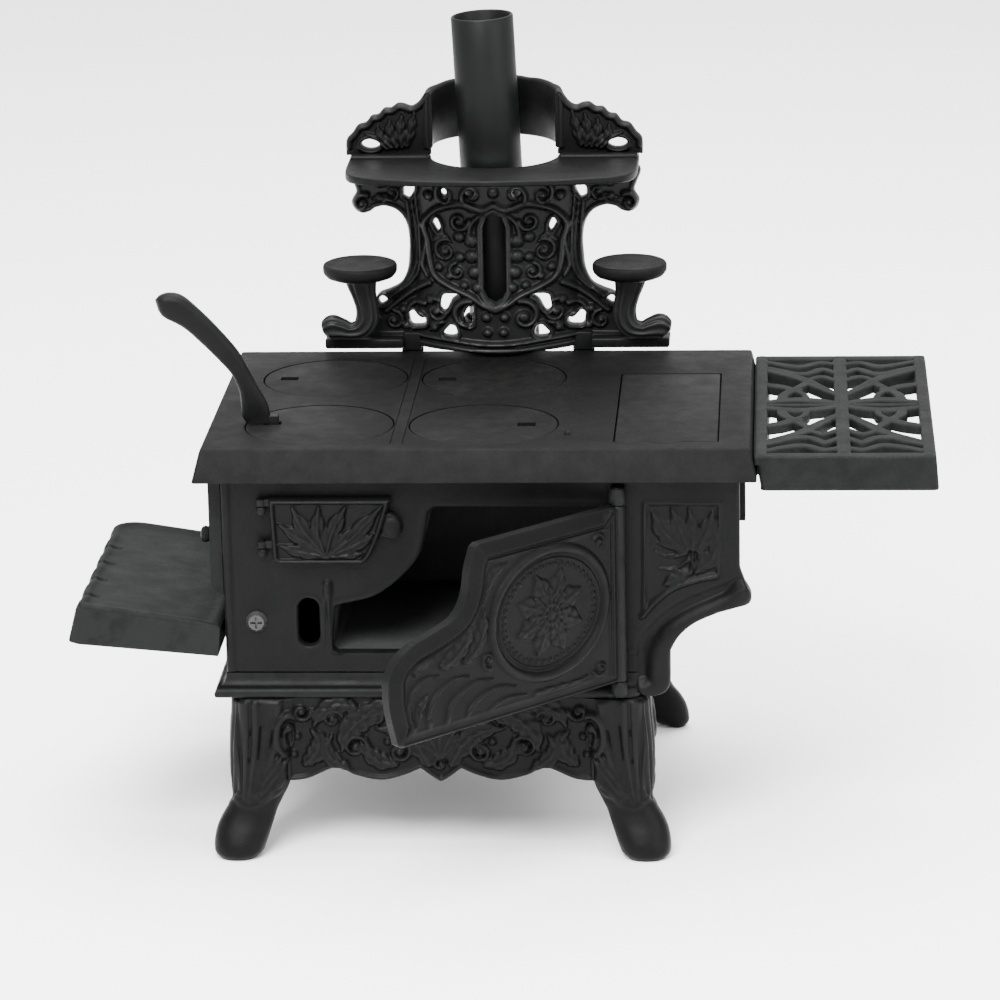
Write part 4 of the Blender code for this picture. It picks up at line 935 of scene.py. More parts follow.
def apron(low, high):
    """Scrolling acanthus to both sides of a palmette, above a raised scalloped lip."""
    c = Casting(apron_outline(low, high), 0.42)
    middle, half = (low + high) / 2, (high - low) / 2
    c.height = roll(-c.edge, 1, 1.3) * (c.grid[..., 1] < 36)
    for side in (-1, 1):
        def at(points):
            """Points as drawn, spread to this apron's width on this side of its middle."""
            p = np.array(points, float)
            return np.stack([middle + side * p[:, 0] * half / 55, p[:, 1]], 1)

        for path, width, lobes in (([(4, 34), (8, 41), (15, 46), (23, 47)], 4.6, 4),
                ([(20, 53), (27, 51), (33, 45), (35, 38)], 5, 5),
                ([(9, 53), (14, 55.6), (21, 56), (27, 55)], 3, 4),
                ([(30, 55), (36, 55.6), (42, 52.6), (45, 47)], 3.8, 4),
                ([(48, 34), (44, 38), (43, 43), (46, 46.6)], 3.8, 3),
                ([(16, 33.6), (22, 35), (26, 39), (26, 44)], 3.4, 4),
                ([(33, 32.4), (38, 35.4), (40.4, 40), (38, 45)], 3.2, 3)):
            c.leaf(smooth(at(path), 9), width, 2.4, lobes)
        for (x, z), radius, start, turns in (((14.5, 38.4), 4.4, 90, 1.6),
                ((30, 40), 4.8, 200, -1.6), ((22.5, 51), 3.6, 0, 1.4),
                ((38, 50.6), 3.6, 160, -1.4), ((49, 53), 3.4, 180, 1.3)):
            begin = start if side > 0 else 180 - start
            c.scroll(at([(x, z)])[0], radius, begin, turns * side, 1.3, 2.2)
        for x, z in ((9.6, 47.8), (18.6, 42), (27, 46.6), (34, 34), (43.6, 41.2),
                (6, 55.4), (50.6, 44), (52, 37.4)):
            c.bead(at([(x, z)])[0], 1.4, 2)
    for angle, reach in ((90, 15), (62, 13), (118, 13), (35, 10), (145, 10)):
        a = math.radians(angle)
        root = np.array([middle, 36])
        tip = root + reach * np.array([math.cos(a), math.sin(a)])
        mid = (root + tip) / 2 + (0, 1)
        c.leaf(smooth([root, mid, tip], 8), 2.7, 2.4, 3)
    c.scroll((middle, 33.6), 2.6, 90, 1.2, 1, 2)
    c.height = np.clip(c.height, 0, 2.6)
    c.soften(2)
    return c


def base():
    base_ring()
    front, side = apron(26.5, 136.1), apron(17.5, 115.7)
    right = 2 * LEG_X - APRON_IN
    for name, drawing, place, depth in (("front", front, facing(BASE_F + 1.4), 3.4),
            ("back", front, facing(BASE_B - 1.4, 1), 3.4), ("left", side,
            facing_side(APRON_IN + 2.4, -1), 3.2), ("right", side, facing_side(right - 2.4, 1),
            3.2)):
        drawing.solid("apron_" + name, place, depth, FACE, rounding=0.6)


def knee():
    """The front of a leg's knee, drawn on the front right leg: a volute and long flutes that
    gather at the ankle."""
    c = Casting([(122, 8), (168, 8), (168, 62), (122, 62)], 0.4)
    for top, side, foot, width in (((138.4, 57.4), (140, 40), (147.4, 21), 2.3),
            ((142.4, 57.4), (143.4, 40), (148.6, 20), 2),
            ((146.2, 57.4), (146.8, 40), (149.8, 19.6), 2),
            ((149.8, 57), (150, 40), (151, 20.4), 1.9),
            ((153, 56), (153.2, 40), (152.6, 22), 1.6)):
        c.ridge(smooth([top, side, foot], 10), width, 1.5, (1, 0.5), power=0.8)
    for top, side, foot in (((131.6, 34), (137, 27.6), (145, 20.6)),
            ((133.6, 37.2), (138.6, 31), (146, 21.6)), ((136.2, 39), (140.2, 32.6),
            (146.8, 22.6))):
        c.leaf(smooth([foot, side, top], 9), 2.6, 1.7, 3)
    c.ridge(arc((134.2, 44.6), (4.7, 7.4), -70, 250, 44), 1.7, 2.1, power=0.8)
    c.ridge(arc((134.4, 44), (1.9, 4), -60, 240, 30), 1.1, 1.6)
    c.bead((134.4, 47.4), 1.9, 1.9)
    c.ridge(smooth([(141, 23.8), (145, 19.6), (149, 18.2), (152.4, 19.4), (155.2, 23)], 6),
        1.4, 1.4)
    c.soften(2)
    return c


def legs():
    """Cabriole legs: a broad ornamented knee, a thin ankle and a smooth paddle foot."""
    # height, centre x and y, half widths x and y, and the power that makes it square
    table = np.array([(58, 141.2, 11.6, 12.7, 12, 0.56), (52, 141.8, 11.2, 12.4, 11.6, 0.56),
        (44, 142.9, 10.4, 12.2, 11.2, 0.58), (36, 144, 8.8, 11.4, 10.4, 0.62),
        (29, 144.7, 7.2, 10.7, 9, 0.66), (24, 145.4, 5.4, 9.6, 7.8, 0.70),
        (20.6, 146.4, 4, 8.7, 6.8, 0.74), (16.6, 148.9, 2.6, 9.1, 6.2, 0.80),
        (13, 150.6, 1.6, 9.7, 6.6, 0.84), (9.5, 151.9, 0.6, 9.8, 7.4, 0.88),
        (5.5, 152.9, -0.4, 9.5, 8.2, 0.9), (2.4, 153.5, -0.8, 8.9, 8.3, 0.9),
        (0.7, 153.7, -0.9, 7.8, 7.4, 0.9), (0, 153.8, -0.9, 6.6, 6.3, 0.9)])
    heights = np.concatenate([np.linspace(58, 3, 120), np.linspace(2.6, 0, 12)])
    rows = table[::-1]
    columns = [np.interp(heights, rows[:, 0], rows[:, k]) for k in range(1, 6)]
    for k in range(5):
        padded = np.pad(columns[k], 3, mode="edge")
        columns[k] = np.convolve(padded, np.ones(7) / 7, "valid")
    drawing = knee()
    angle = full_turn(144)
    c, s = np.cos(angle), np.sin(angle)
    for side in ("left", "right"):
        for end in ("front", "back"):
            rings = []
            for z, cx, cy, hx, hy, power in zip(heights, *columns):
                x = cx + hx * squarish(c, power)
                y = cy + hy * squarish(s, power)
                fade = unit((z - 16) / 8) * unit((58.6 - z) / 2)
                face = unit((-s - 0.35) / 0.45) * fade
                y = y - 1.3 * face * drawing.sample(np.stack([x, np.full(len(x), z)], 1))
                flank = unit((c - 0.35) / 0.45) * fade
                across = 154.2 - (y + 1)
                x = x + flank * 1.1 * drawing.sample(np.stack([across, np.full(len(x), z)], 1))
                up = np.full(len(x), z)
                if end == "back":
                    low = 1 - z / 58.3
                    y = cy + (y - cy) * (1 - 0.28 * low)
                    x, y = x + REAR_SPLAY * low, y - REAR_SPLAY * low
                    inner = unit((162 - x) / 16) * unit((y + 11) / 8)
                    up = z + 4.6 * inner * max(0, 1 - z / 14)
                if side == "left":
                    x = 2 * LEG_X - x
                if end == "back":
                    y = 2 * LEG_Y - y
                rings.append(np.stack([x, y, up], 1))
            name = f"leg_{end}_{side}"
            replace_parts(loft(f"cabriole_{name}", rings, FACE, sharp=70), name)


# ------------------------------ tall back
BACK_X = 96
SPLASH_Y = 134.8
SHELF_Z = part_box("warming_shelf")[1].z / MM
BOW_HALF, BOW_DEPTH = 30, 12


def bow(x):
    """How far the back plate stands forward, round an arc in its middle."""
    radius = (BOW_HALF ** 2 + BOW_DEPTH ** 2) / (2 * BOW_DEPTH)
    reach = np.abs(x - BACK_X)
    return np.maximum(0, np.sqrt(np.maximum(radius ** 2 - reach ** 2, 0)) - radius + BOW_DEPTH)


def splash_back():
    """The pierced back plate: columns, a heart with a slot, scrolls, beads and leaves, all drawn
    as distances out from its middle."""
    half = [(64, 150.6), (64.4, 154.8), (58, 155.6), (50.6, 158)]
    half += list(smooth([(48.4, 162.6), (46.4, 167), (44, 170.8), (39.8, 172.6), (35.6, 175),
        (33.2, 180), (32.5, 186), (32.3, 192), (33.4, 198), (36.4, 202.2), (41, 204),
        (44.6, 203.4)], 5))
    half += list(smooth([(46.4, 202), (49.4, 201.3), (52.2, 202.8), (53.4, 206), (51.6, 209.6),
        (52.6, 213), (54, 217), (52.4, 219.8)], 5))
    c = Casting(both_sides(half, BACK_X), 0.36)

    def both(points):
        """The same path on the left and on the right."""
        return [mirrored(points, side, BACK_X) for side in (-1, 1)]

    # the smooth fluted column on each side
    for inset, width, height in ((1, 1.1, 1.7), (2.7, 0.9, 1.5), (4.2, 0.9, 1.7)):
        path = smooth([(34.4 - inset, 217), (33.6 - inset, 206), (32.6 - inset, 196),
            (32.4 - inset, 186), (33.4 - inset, 179.6), (36.6 - inset, 174.8),
            (41.4 - inset, 171.4)], 8)
        for line in both(path):
            c.ridge(line, width, height)
    c.height = np.maximum(c.height, roll(-c.edge, 1.1, 1.2))
    heart = smooth([(0.4, 206.6), (4.6, 205), (12.4, 207), (21, 204.6), (26.4, 198.6),
        (25, 192), (24.2, 184.6), (22.4, 179), (16.8, 175.6), (9.6, 172.6), (4.8, 169.4),
        (0.3, 167.4)], 7)
    rib = smooth([(28.2, 198.6), (25.6, 193.4), (26.4, 187.6), (27.2, 182.4), (25.6, 178.6)], 6)
    brace = smooth([(24.8, 176.2), (27.6, 174.6), (34.9, 169.8), (41.2, 164.6)], 6)
    pod = smooth([(5.4, 203), (8.4, 199.6), (9.6, 195)], 5)
    for path, width, height in ((heart, 1.6, 2.7), (rib, 1.1, 2), (brace, 1.4, 2.7),
            (pod, 1.2, 2.3)):
        for line in both(path):
            c.ridge(line, width, height)
    spirals = (((17.8, 210.2), 5, 90, 1.05, 1.4, 2.4), ((7.9, 210.3), 5, 270, -1.05, 1.4, 2.4),
        ((18.3, 189.2), 4.6, 80, 1.5, 1.3, 2.5), ((13, 200.6), 3.8, 0, -1.4, 1.3, 2.4),
        ((14, 181.6), 3.3, 100, 1.4, 1.1, 2.2), ((10.6, 164.6), 6.2, 75, 1.1, 1.7, 2.7),
        ((22.4, 165.6), 4.8, 100, -1.3, 1.4, 2.5), ((29.6, 163.4), 5.2, 60, 1.1, 1.5, 2.5),
        ((38.6, 160.8), 3.8, 90, -1.3, 1.2, 2.2), ((49.4, 205.4), 3.5, 60, 1.2, 1.5, 2.6),
        ((38.2, 209.4), 3.4, 200, 1.2, 1, 1.6))
    for (x, z), radius, start, turns, width, height in spirals:
        for side in (-1, 1):
            begin = 180 - start if side > 0 else start
            c.scroll((BACK_X + side * x, z), radius, begin, -turns * side, width, height)
    beads = ((8.5, 193.4, 2.6), (8.4, 187.6, 2.6), (7.4, 181.6, 2.5), (6.4, 175.8, 2.1),
        (12.9, 194.8, 2.1), (12.8, 187.2, 1.9), (11.4, 176.6, 1.7), (19.8, 195.6, 1.6),
        (21, 182.8, 1.8), (17, 179.6, 1.5), (24.4, 209.2, 1.9), (24.6, 169.6, 1.8),
        (3.4, 164.6, 1.8), (23.4, 159.4, 1.7), (35, 165, 1.7), (0, 211.6, 2),
        (34, 158.8, 1.7), (45.4, 161, 1.6), (3, 158.8, 1.7))
    for x, z, radius in beads:
        for at in both([(x, z)]):
            c.bead(at[0], radius, 2.5)
    leaves = (([(22.6, 192.6), (19.6, 194.6), (15.6, 192.4)], 1.7, 3),
        ([(36.6, 215.4), (41, 214), (46, 215.2), (51, 214.2)], 2.8, 5),
        ([(38, 206.6), (42, 207.6), (46, 207)], 1.7, 3),
        ([(36, 172.6), (39.6, 170), (43.4, 167)], 1.6, 3),
        ([(19.6, 161.8), (22.6, 160.8), (25.2, 157.6)], 1.8, 3))
    for path, width, lobes in leaves:
        for line in both(smooth(path, 7)):
            c.leaf(line, width, 2.4, lobes)
    for line in both([(63, 154), (33, 154.6)]):
        c.ridge(line, 1.5, 2)
    sill = smooth([(-34, 155.6), (-19, 155.3), (-8.7, 154.4), (0, 154), (8.7, 154.4),
        (19, 155.3), (34, 155.6)], 6)
    c.ridge(sill + (BACK_X, 0), 1.2, 2.4)
    c.ridge(sill + (BACK_X, -2.8), 1, 1.4)
    c.ridge([(BACK_X - 52, 218), (BACK_X + 52, 218)], 1.4, 1.4)
    slot = [(0, 169.8), (2.6, 171.2), (4.2, 174.4), (4.2, 198.2), (3, 201.8), (0, 203.6)]
    c.pierce(both_sides(slot, BACK_X), 2, 1.3)
    holes = ([(33.8, 208), (33.4, 211.6), (29.9, 211.6), (31.6, 207.4)],
        [(22.8, 199), (21.6, 200.8), (20.2, 198), (21, 196.2)],
        [(20.4, 169.8), (19, 172.2), (14, 172.6), (16.2, 170.6), (18.6, 166.2), (20.4, 167)],
        [(33, 163.6), (31, 164.2), (28.6, 162.2), (26.8, 162), (27.4, 159.6), (31.8, 159)],
        [(17, 160.8), (15.2, 160.2), (14.8, 157.2), (18.4, 156.6), (19.6, 157.6)],
        [(44.2, 168.8), (42.8, 170), (40.8, 168.6), (43.2, 166.8)])
    for shape in holes:
        ring = smooth(shape + shape[:1], 5)[:-1]
        for hole in both(ring):
            c.pierce(hole, 2, 0.9)
    scroll_eye = smooth([(-8.4, 168.2), (-10.2, 167.8), (-11.8, 164.6), (-10.9, 161.6),
        (-8.8, 161.8), (-8.4, 168.2)], 5)[:-1]
    c.pierce(scroll_eye + (BACK_X, 0), 1.6, 0.8)
    for x, radii in ((-18.4, (1.1, 1.2)), (-8.6, (2, 1.3)), (8.4, (1.6, 1.4))):
        c.pierce(arc((BACK_X + x, 211), radii, 0, 360, 20)[:-1])
    c.height = np.clip(c.height, 0, 3)
    c.soften()

    def place(u, v, h):
        """Onto the bowed plate, leaving room for the rear lids to lift."""
        y = SPLASH_Y - bow(u) - h + 0.8
        for x, lid_y in LIDS.values():
            reach = np.sqrt(np.maximum(LID_R ** 2 - (u - x) ** 2, 0))
            y = np.where(v < 185, np.maximum(y, lid_y + reach + 0.4), y)
        return np.stack([u, y, v], 1)

    # The back plate takes the paler iron that is painted light for the shade under the warming
    # shelf.
    back = c.solid("back_casting", place, 2.7, UNDER_SHELF_PAINTED_LIGHT, rounding=1.1, sharp=60)
    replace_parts(back, "splash_back", "shelf_bolt_left", "shelf_bolt_right")
    rail_x, foot_x = 49.5, 32     # distances out from the middle
    for name, side in SIDES:
        x = BACK_X + side * rail_x
        block("back_rail_" + name, (x - 14.6, 128.6, 151.2), (x + 14.6, SPLASH_Y + 1, 155),
            edge=0.9)
    for name, side in SIDES:
        x = BACK_X + side * foot_x
        block("back_foot_" + name, (x - 3.4, SPLASH_Y - 1.6, 149.3),
            (x + 3.4, SPLASH_Y + 3, 156.4), edge=0.7)
        block("back_tab_" + name, (x - 4, SPLASH_Y, 138.6), (x + 4, SPLASH_Y + 3.5, 154),
            edge=0.5)


def warming_shelf():
    """A thin-lipped shelf, thicker at the rear, with a notch round the pipe."""
    half, rear, notch_r = 53.4, 138.3, 23.5
    corner = smooth([(-half, 119), (-half + 0.5, 110), (-half + 3.2, 102.6),
        (-half + 8.6, 98.4), (-half + 16, 96.2), (-24, 93.4), (0, 91.3)], 6) + (BACK_X, 0)
    notch = arc((BACK_X, 137.6), notch_r, 0, -180, 48)
    ends = np.array([(half, rear), (notch_r, rear)])
    outline = np.vstack([corner, flip(corner[:-1], BACK_X), ends + (BACK_X, 0), notch,
        mirrored(ends, -1, BACK_X)[::-1]])
    keep = [outline[0]]
    for p in outline[1:]:
        if np.hypot(*(p - keep[-1])) > 0.05:
            keep.append(p)
    mesh = prism(np.array(keep), SHELF_Z - 3.2, SHELF_Z)
    # its underside rises towards the front lip
    for vert in mesh.vertices:
        depth = (vert.co.y / MM - ORIGIN[1] - 91) / 14
        if vert.co.z < (SHELF_Z - 1) * MM:
            vert.co.z += (1 - min(max(depth, 0), 1)) * 1.1 * MM
    shelf = machined("shelf_plate", mesh, [], IRON, edge=0.9, segments=4, sharp=60)
    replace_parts(shelf, "warming_shelf")
    for name, side in SIDES:
        x0, x1 = sorted((BACK_X + side * 24.2, BACK_X + side * 53))
        block("shelf_bead_" + name, (x0, 130.4, SHELF_Z - 1), (x1, SPLASH_Y + 1, SHELF_Z + 1.2),
            edge=0.9)


def crest():
    """Two scalloped wings with a leaf fan and an eye, and the half-round niche between them."""
    z = SHELF_Z + 0.3
    top = [(23.4, 247.4), (25.4, 246.2), (27.6, 243.2), (30.2, 241.6), (32.8, 242.4),
        (35.4, 242.6), (37.8, 241), (40.4, 240.8), (42.6, 238.6), (45.2, 238), (47.2, 235.6),
        (50.2, 234.6), (52.4, 231.6), (54.6, 229), (54.8, z)]
    outline = np.vstack([smooth(top, 5), [(23.4, z)]])
    for name, side in SIDES:
        c = Casting(mirrored(outline, side, BACK_X), 0.34)
        c.height = roll(-c.edge, 1.2, 1.3) * (c.grid[..., 1] > 226)
        # a fan of leaves
        for path, width in (([(34, 226.6), (34.6, 232.4), (33.6, 239.4)], 2.2),
                ([(36, 226.4), (38.2, 231.6), (38.4, 237.6)], 2.2),
                ([(38, 226.4), (41.8, 230.6), (42.8, 235.4)], 2),
                ([(32.2, 227), (30.8, 232.6), (28.8, 240.4)], 2),
                ([(39.4, 225.8), (44.6, 230.4), (48, 232)], 1.3)):
            c.leaf(smooth(mirrored(path, side, BACK_X), 7), width, 2.2, 3)
        eye = arc((45.6, 227.6), (3.4, 1.8), 0, 360, 28)[:-1]
        c.pierce(mirrored(eye, side, BACK_X), 1.4, 1)
        c.soften()
        wing = c.solid("crest_wing_" + name, facing(SPLASH_Y + 0.4), 3.1, FACE, rounding=1,
            sharp=60)
        if name == "left":
            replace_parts(wing, "crest")
    # the niche's rim is gently scalloped; rows of its profile with a 1 follow that rim
    angle = np.radians(np.linspace(-5, 185, 90))
    rim = 246.8 + 1.2 * np.sin(np.clip(angle, 0, np.pi)) + 0.35 * np.abs(np.sin(6 * angle))
    profile = [(25.8, 226.6, 0), (25.8, -1.4, 1), (25.3, -0.4, 1), (24.3, 0, 1), (23.3, -0.4, 1),
        (22.8, -1.4, 1), (22.7, 226.6, 0), (23.2, 226.1, 0), (25.2, 226.1, 0)]
    points = [np.stack([BACK_X + r * np.cos(angle), 136.6 + r * np.sin(angle), h + rim * on], 1)
        for r, h, on in profile]
    n, m = len(profile), len(angle)
    quads = []
    for k in range(n):
        for i in range(m - 1):
            quads.append((k * m + i, k * m + i + 1, (k + 1) % n * m + i + 1, (k + 1) % n * m + i))
    ends = np.array([[k * m for k in range(n)][::-1], [k * m + m - 1 for k in range(n)]])
    build_mesh("crest_niche", np.vstack(points), [np.array(quads), ends], IRON, sharp=50)


def trivets():
    """Round plates on fluted columns that bend outwards into acanthus feet along the rail."""
    plate_profile = [(0.02, 179.8), (10.4, 179.8), (12.4, 180.6), (13.4, 181.8), (13.7, 182.6),
        (13.75, 184.2), (13.4, 185), (12.8, 185.3), (12.2, 185.1), (0.02, 185)]
    # distance out from the middle, height, half width across the path, half depth
    rows = smooth([(49.7, 181.2, 5.7, 3.6), (49.7, 177.6, 5.4, 3.4), (48.8, 172.4, 4.3, 3.2),
        (47.8, 167.6, 4, 3.2), (47.9, 163, 4.1, 3.3), (50.2, 159.8, 3.7, 3.4),
        (54, 158.9, 3, 3.5), (57.6, 159.6, 3.9, 3.6), (60.6, 160, 4.7, 3.6),
        (62.8, 159.6, 3.9, 3.3), (64.2, 159, 2, 2), (64.7, 158.8, 0.3, 0.4)], 8)
    way = np.gradient(rows[:, :2], axis=0)
    way /= np.hypot(*way.T)[:, None]
    angle = full_turn(80)
    c, s = np.cos(angle), np.sin(angle)
    for name, side in SIDES:
        plate = turned("trivet_plate_" + name, plate_profile, (BACK_X + side * 49.8, 124, 0),
            PLATE, sharp=60)
        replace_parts(plate, "trivet_" + name)
        rings = []
        for (out, z, half, deep), (wx, wz) in zip(rows, way):
            flute = 1 + 0.07 * np.cos(10 * angle) * min(half / 3, 1)
            across = half * flute * squarish(c, 0.8)
            y = 126.6 + deep * flute * squarish(s, 0.8)
            rings.append(np.stack([BACK_X + side * (out - wz * across), y, z + wx * across], 1))
        # The trivet columns take the paler iron that is painted light for the shade under the
        # warming shelf.
        loft("trivet_column_" + name, rings, UNDER_SHELF_PAINTED_LIGHT, sharp=70)


# ------------------------------ pipe
def stovepipe():
    """The leaning pipe and the collar that it stands in."""
    length, r, wall, lean = 123, 11.5, 1.1, math.radians(2.4)
    profile = [(r, 0.3), (r, 30), (r, 60), (r, 90), (r, length - 0.5), (r - 0.25, length - 0.1),
        (r - wall / 2, length), (r - wall + 0.25, length - 0.1), (r - wall, length - 0.5),
        (r - wall, 90), (r - wall, 60), (r - wall, 30), (r - wall, 0.3), (r - 0.5, 0)]
    x, y = FLUE
    pipe = tube_wall("flue_pipe", profile, (x + 0.2, y, 151.5), PIPE, "stovepipe", lean=lean,
        sharp=60)
    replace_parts(pipe, "stovepipe")
    z = HOB_Z + 0.3
    profile = [(9, z), (15.2, z), (15.6, z + 0.5), (15.4, z + 2), (14.6, z + 2.7),
        (14.2, z + 3.4), (14, z + 10.6), (13.6, z + 11.3), (13, z + 11.3), (12.6, z + 10.8),
        (12.6, z + 1.3), (9, z + 1.3)]
    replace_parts(tube_wall("collar_casting", profile, (x, y, 0), IRON), "flue_collar")


# ------------------------------ shelves
GRILLE = (192, 254.6, 0, 135.4, 146.5)      # its sides and its top


def grille_shelf():
    """The right shelf: a pierced lattice in four mirrored quarters, inside a hanging rim."""
    x0, x1, y0, y1, top = GRILLE
    c = Casting([(x0, y0), (x1, y0), (x1, y1), (x0, y1)], 0.42)
    mx, my = (x0 + x1) / 2 - 0.3, (y0 + y1) / 2
    inner = signed(c.grid.reshape(-1, 2), [(x0 + 4.6, y0 + 4.8), (x1 - 4.4, y0 + 4.8),
        (x1 - 4.4, y1 - 4.8), (x0 + 4.6, y1 - 4.8)])
    inner = inner.reshape(c.edge.shape)
    bars = np.full(c.edge.shape, 1e3)

    def bar(points, width, bulge):
        """A bar of the lattice; width is half its breadth, and it swells by bulge halfway."""
        path = smooth(points, 6) if len(points) > 2 else np.asarray(points, float)
        place = c.window(path, width + 3)
        dist, share = near(c.grid[place].reshape(-1, 2), path)
        field = (dist - width - bulge * np.sin(np.pi * share)).reshape(c.edge[place].shape)
        bars[place] = np.minimum(bars[place], field)

    # one quarter of the lattice, mirrored; distances from the middle along X and Y
    quarter = ((((0, 1.4), (9, 5.8), (17, 7), (28.6, 3.2)), 1.7, 0.9),
        (((0.8, 12), (8.8, 26), (14.8, 36.6), (28.6, 49.6)), 1.5, 1),
        (((17.2, 20.3), (21.6, 24.6), (28.6, 28.4)), 1.9, 0.5),
        (((17.2, 20.3), (20.6, 13.4), (21.6, 6.4)), 1.9, 0.2),
        (((17.2, 20.3), (13.6, 27), (12, 31)), 1.6, 0.3),
        (((17.2, 20.3), (13.4, 14), (12.4, 6.4)), 1.4, 0),
        (((1, 31.6), (6.4, 38.4), (10.6, 35.6), (12.6, 32.6)), 1.3, 0.4),
        (((1, 42.6), (6.4, 49), (11.4, 43.4), (16.6, 43), (22, 47.6), (28.6, 53)), 1.5,
        0.6), (((1, 55.6), (7, 58.4), (13.4, 53.2), (19.4, 54.6), (28.6, 60.6)), 1.5, 0.6))
    for points, width, bulge in quarter:
        for sx, sy in ((-1, -1), (-1, 1), (1, -1), (1, 1)):
            bar([(mx + sx * a, my + sy * b) for a, b in points], width, bulge)
    spot = np.abs(c.grid - (mx, my))
    for more in (np.hypot(spot[..., 0] - 16.9, spot[..., 1] - 20.3) - 3.4,
            np.hypot(spot[..., 0], spot[..., 1] - 58) - 3.2, spot[..., 0] - 2.5,
            spot[..., 1] - 1.1):
        bars = np.minimum(bars, more)
    c.edge = np.maximum(c.edge, -np.maximum(inner, -bars))
    c.ridge([(mx, y0 + 6), (mx, y1 - 6)], 1.2, 0.3)
    for x in (x0 + 2.6, x1 - 2.6):
        c.ridge([(x, y0 + 2), (x, y1 - 2)], 2, 0.3)
    lattice = c.solid("grille_lattice", lambda u, v, h: np.stack([u, v, top - 0.3 + h], 1), 3.2,
        TRAY, body="grille_shelf", sharp=60)
    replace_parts(lattice, "grille_shelf")
    skirt("grille_skirt", GRILLE[:4], top - 0.9, 11.6, (-2.4, 1, 0.4, 0.4), "grille_shelf")
    for k, y in enumerate((30, 104)):
        block(f"grille_tongue_{k}", (179.2, y - 6, 132.5), (x0 + 6, y + 6, 136), TRAY,
            "grille_shelf")


def skirt(name, sides, top, drop, flare, body):
    """The hanging rim of a shelf: four drafted walls with rounded corners."""
    x0, x1, y0, y1 = sides
    a, b, d, e = flare
    rows = [(0, 0, 0), (0.5, 0.15, 0), (drop - 0.6, 1, 0), (drop, 0.93, 0),
        (drop, 0.93, 2.2), (drop - 0.6, 1, 2.8), (0.5, 0.15, 2.8), (0, 0, 2.8)]
    points = []
    for down, share, thick in rows:
        l, r = x0 - a * share + thick, x1 + b * share - thick
        f, g = y0 - d * share + thick, y1 + e * share - thick
        radius = 0.6 if thick else 2
        corners = (((r - radius, g - radius), 0), ((l + radius, g - radius), 90),
            ((l + radius, f + radius), 180), ((r - radius, f + radius), 270))
        ring = np.vstack([arc(centre, radius, start, start + 90, 6) for centre, start in corners])
        points.append(np.c_[ring, np.full(len(ring), top - down)])
    quads = ring_quads(len(points), len(points[0]))
    return build_mesh(name, np.vstack(points), [quads], TRAY, body, sharp=50)


def ash_shelf():
    """The left shelf: a dished tray with a fluted outer lip and a drafted skirt, tilted."""
    x1, x0, depth, corner, tilt = 4.9, -46.1, 105, 12, math.radians(5.4)
    flutes, near_end = 5, 3
    straight = depth - corner - near_end
    wave = [(x0 + 0.35 * (1 - math.cos(2 * math.pi * flutes * t)), near_end + t * straight)
        for t in np.linspace(1, 0, 60)]
    top = np.vstack([[(x1, 0.8), (x1, depth)], arc((x0 + corner, depth - corner), corner, 90, 175,
        14), wave, [(x0 + 1.6, 0.8)]])
    c = Casting(top, 0.5)
    inset = -c.edge
    away = unit((x1 - c.grid[..., 0]) / 8)
    c.height = roll(inset, 1.6, 0.7) * away
    c.height -= 0.35 * unit((inset - 3) / 2)
    for t in np.linspace(0.1, 0.74, 4):
        y = near_end + t * straight
        c.groove([(x0 + 0.2, y), (x0 + 5.6, y + 2.6)], 1.5, 0.7)
    c.soften()
    cos, sin = math.cos(tilt), math.sin(tilt)

    def place(u, v, h):
        """Onto the tilted shelf, whose top rises a little more towards its outer end."""
        x, z = u - x1, h + (3.2 * (x1 - u) / (x1 - x0) - 0.7) * unit(1 + h / 11.8)
        return np.stack([x1 + x * cos + z * sin, v, 85.2 - x * sin + z * cos], 1)

    tray = c.solid("ash_tray_top", place, 3, TRAY, rounding=1, body="ash_shelf", sharp=60)
    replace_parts(tray, "ash_shelf")
    # skirt: the top outline swept down and outwards
    levels = [(-0.8, 0), (-1.6, 0.35), (-11.2, 2.3), (-11.8, 2), (-11.8, -0.4), (-10.8, -0.8),
        (-2, -2.8)]
    tangent = np.roll(top, -1, 0) - np.roll(top, 1, 0)
    tangent /= np.maximum(np.hypot(*tangent.T), 1e-6)[:, None]
    normal = np.stack([tangent[:, 1], -tangent[:, 0]], 1)
    if ((top - ((x1 + x0) / 2, depth / 2)) * normal).sum() < 0:
        normal = -normal
    limit = np.where(top[:, 0] > x1 - 0.5, 0, 1)     # the end at the wall stays upright
    points = []
    for z, out in levels:
        xy = top + normal * out * np.where(out > 0, limit, 1)[:, None]
        xy[:, 0] = np.minimum(xy[:, 0], x1)
        xy[:, 1] = np.maximum(xy[:, 1], 0.3)
        points.append(place(xy[:, 0], xy[:, 1], np.full(len(xy), z)))
    quads = ring_quads(len(points), len(top))
    build_mesh("ash_tray_skirt", np.vstack(points), [quads], TRAY, "ash_shelf", sharp=50)
    for k, y in enumerate((24, 72)):
        block(f"ash_tongue_{k}", (x1 - 2, y - 6, 77), (11.6, y + 6, 80), TRAY, "ash_shelf")


# ------------------------------ kept CAD pieces
def finish_kept():
    """Materials for the CAD nodes that stay in view."""
    # The oven liner, oven back and reservoir tank get the interior iron that is painted paler as
    # light for their shade.
    looks = {"left_wall": IRON, "right_wall": IRON, "back_wall": IRON, "oven_liner": INSIDE_PAINTED_LIGHT,
        "oven_back": INSIDE_PAINTED_LIGHT, "reservoir_tank": INSIDE_PAINTED_LIGHT, "feed_door": IRON, "feed_door_knob": IRON}
    for name, obj in frame["nodes"].items():
        if obj.hide_render:
            continue
        material = looks.get(name, STEEL)
        for slot in obj.material_slots:
            slot.material = material


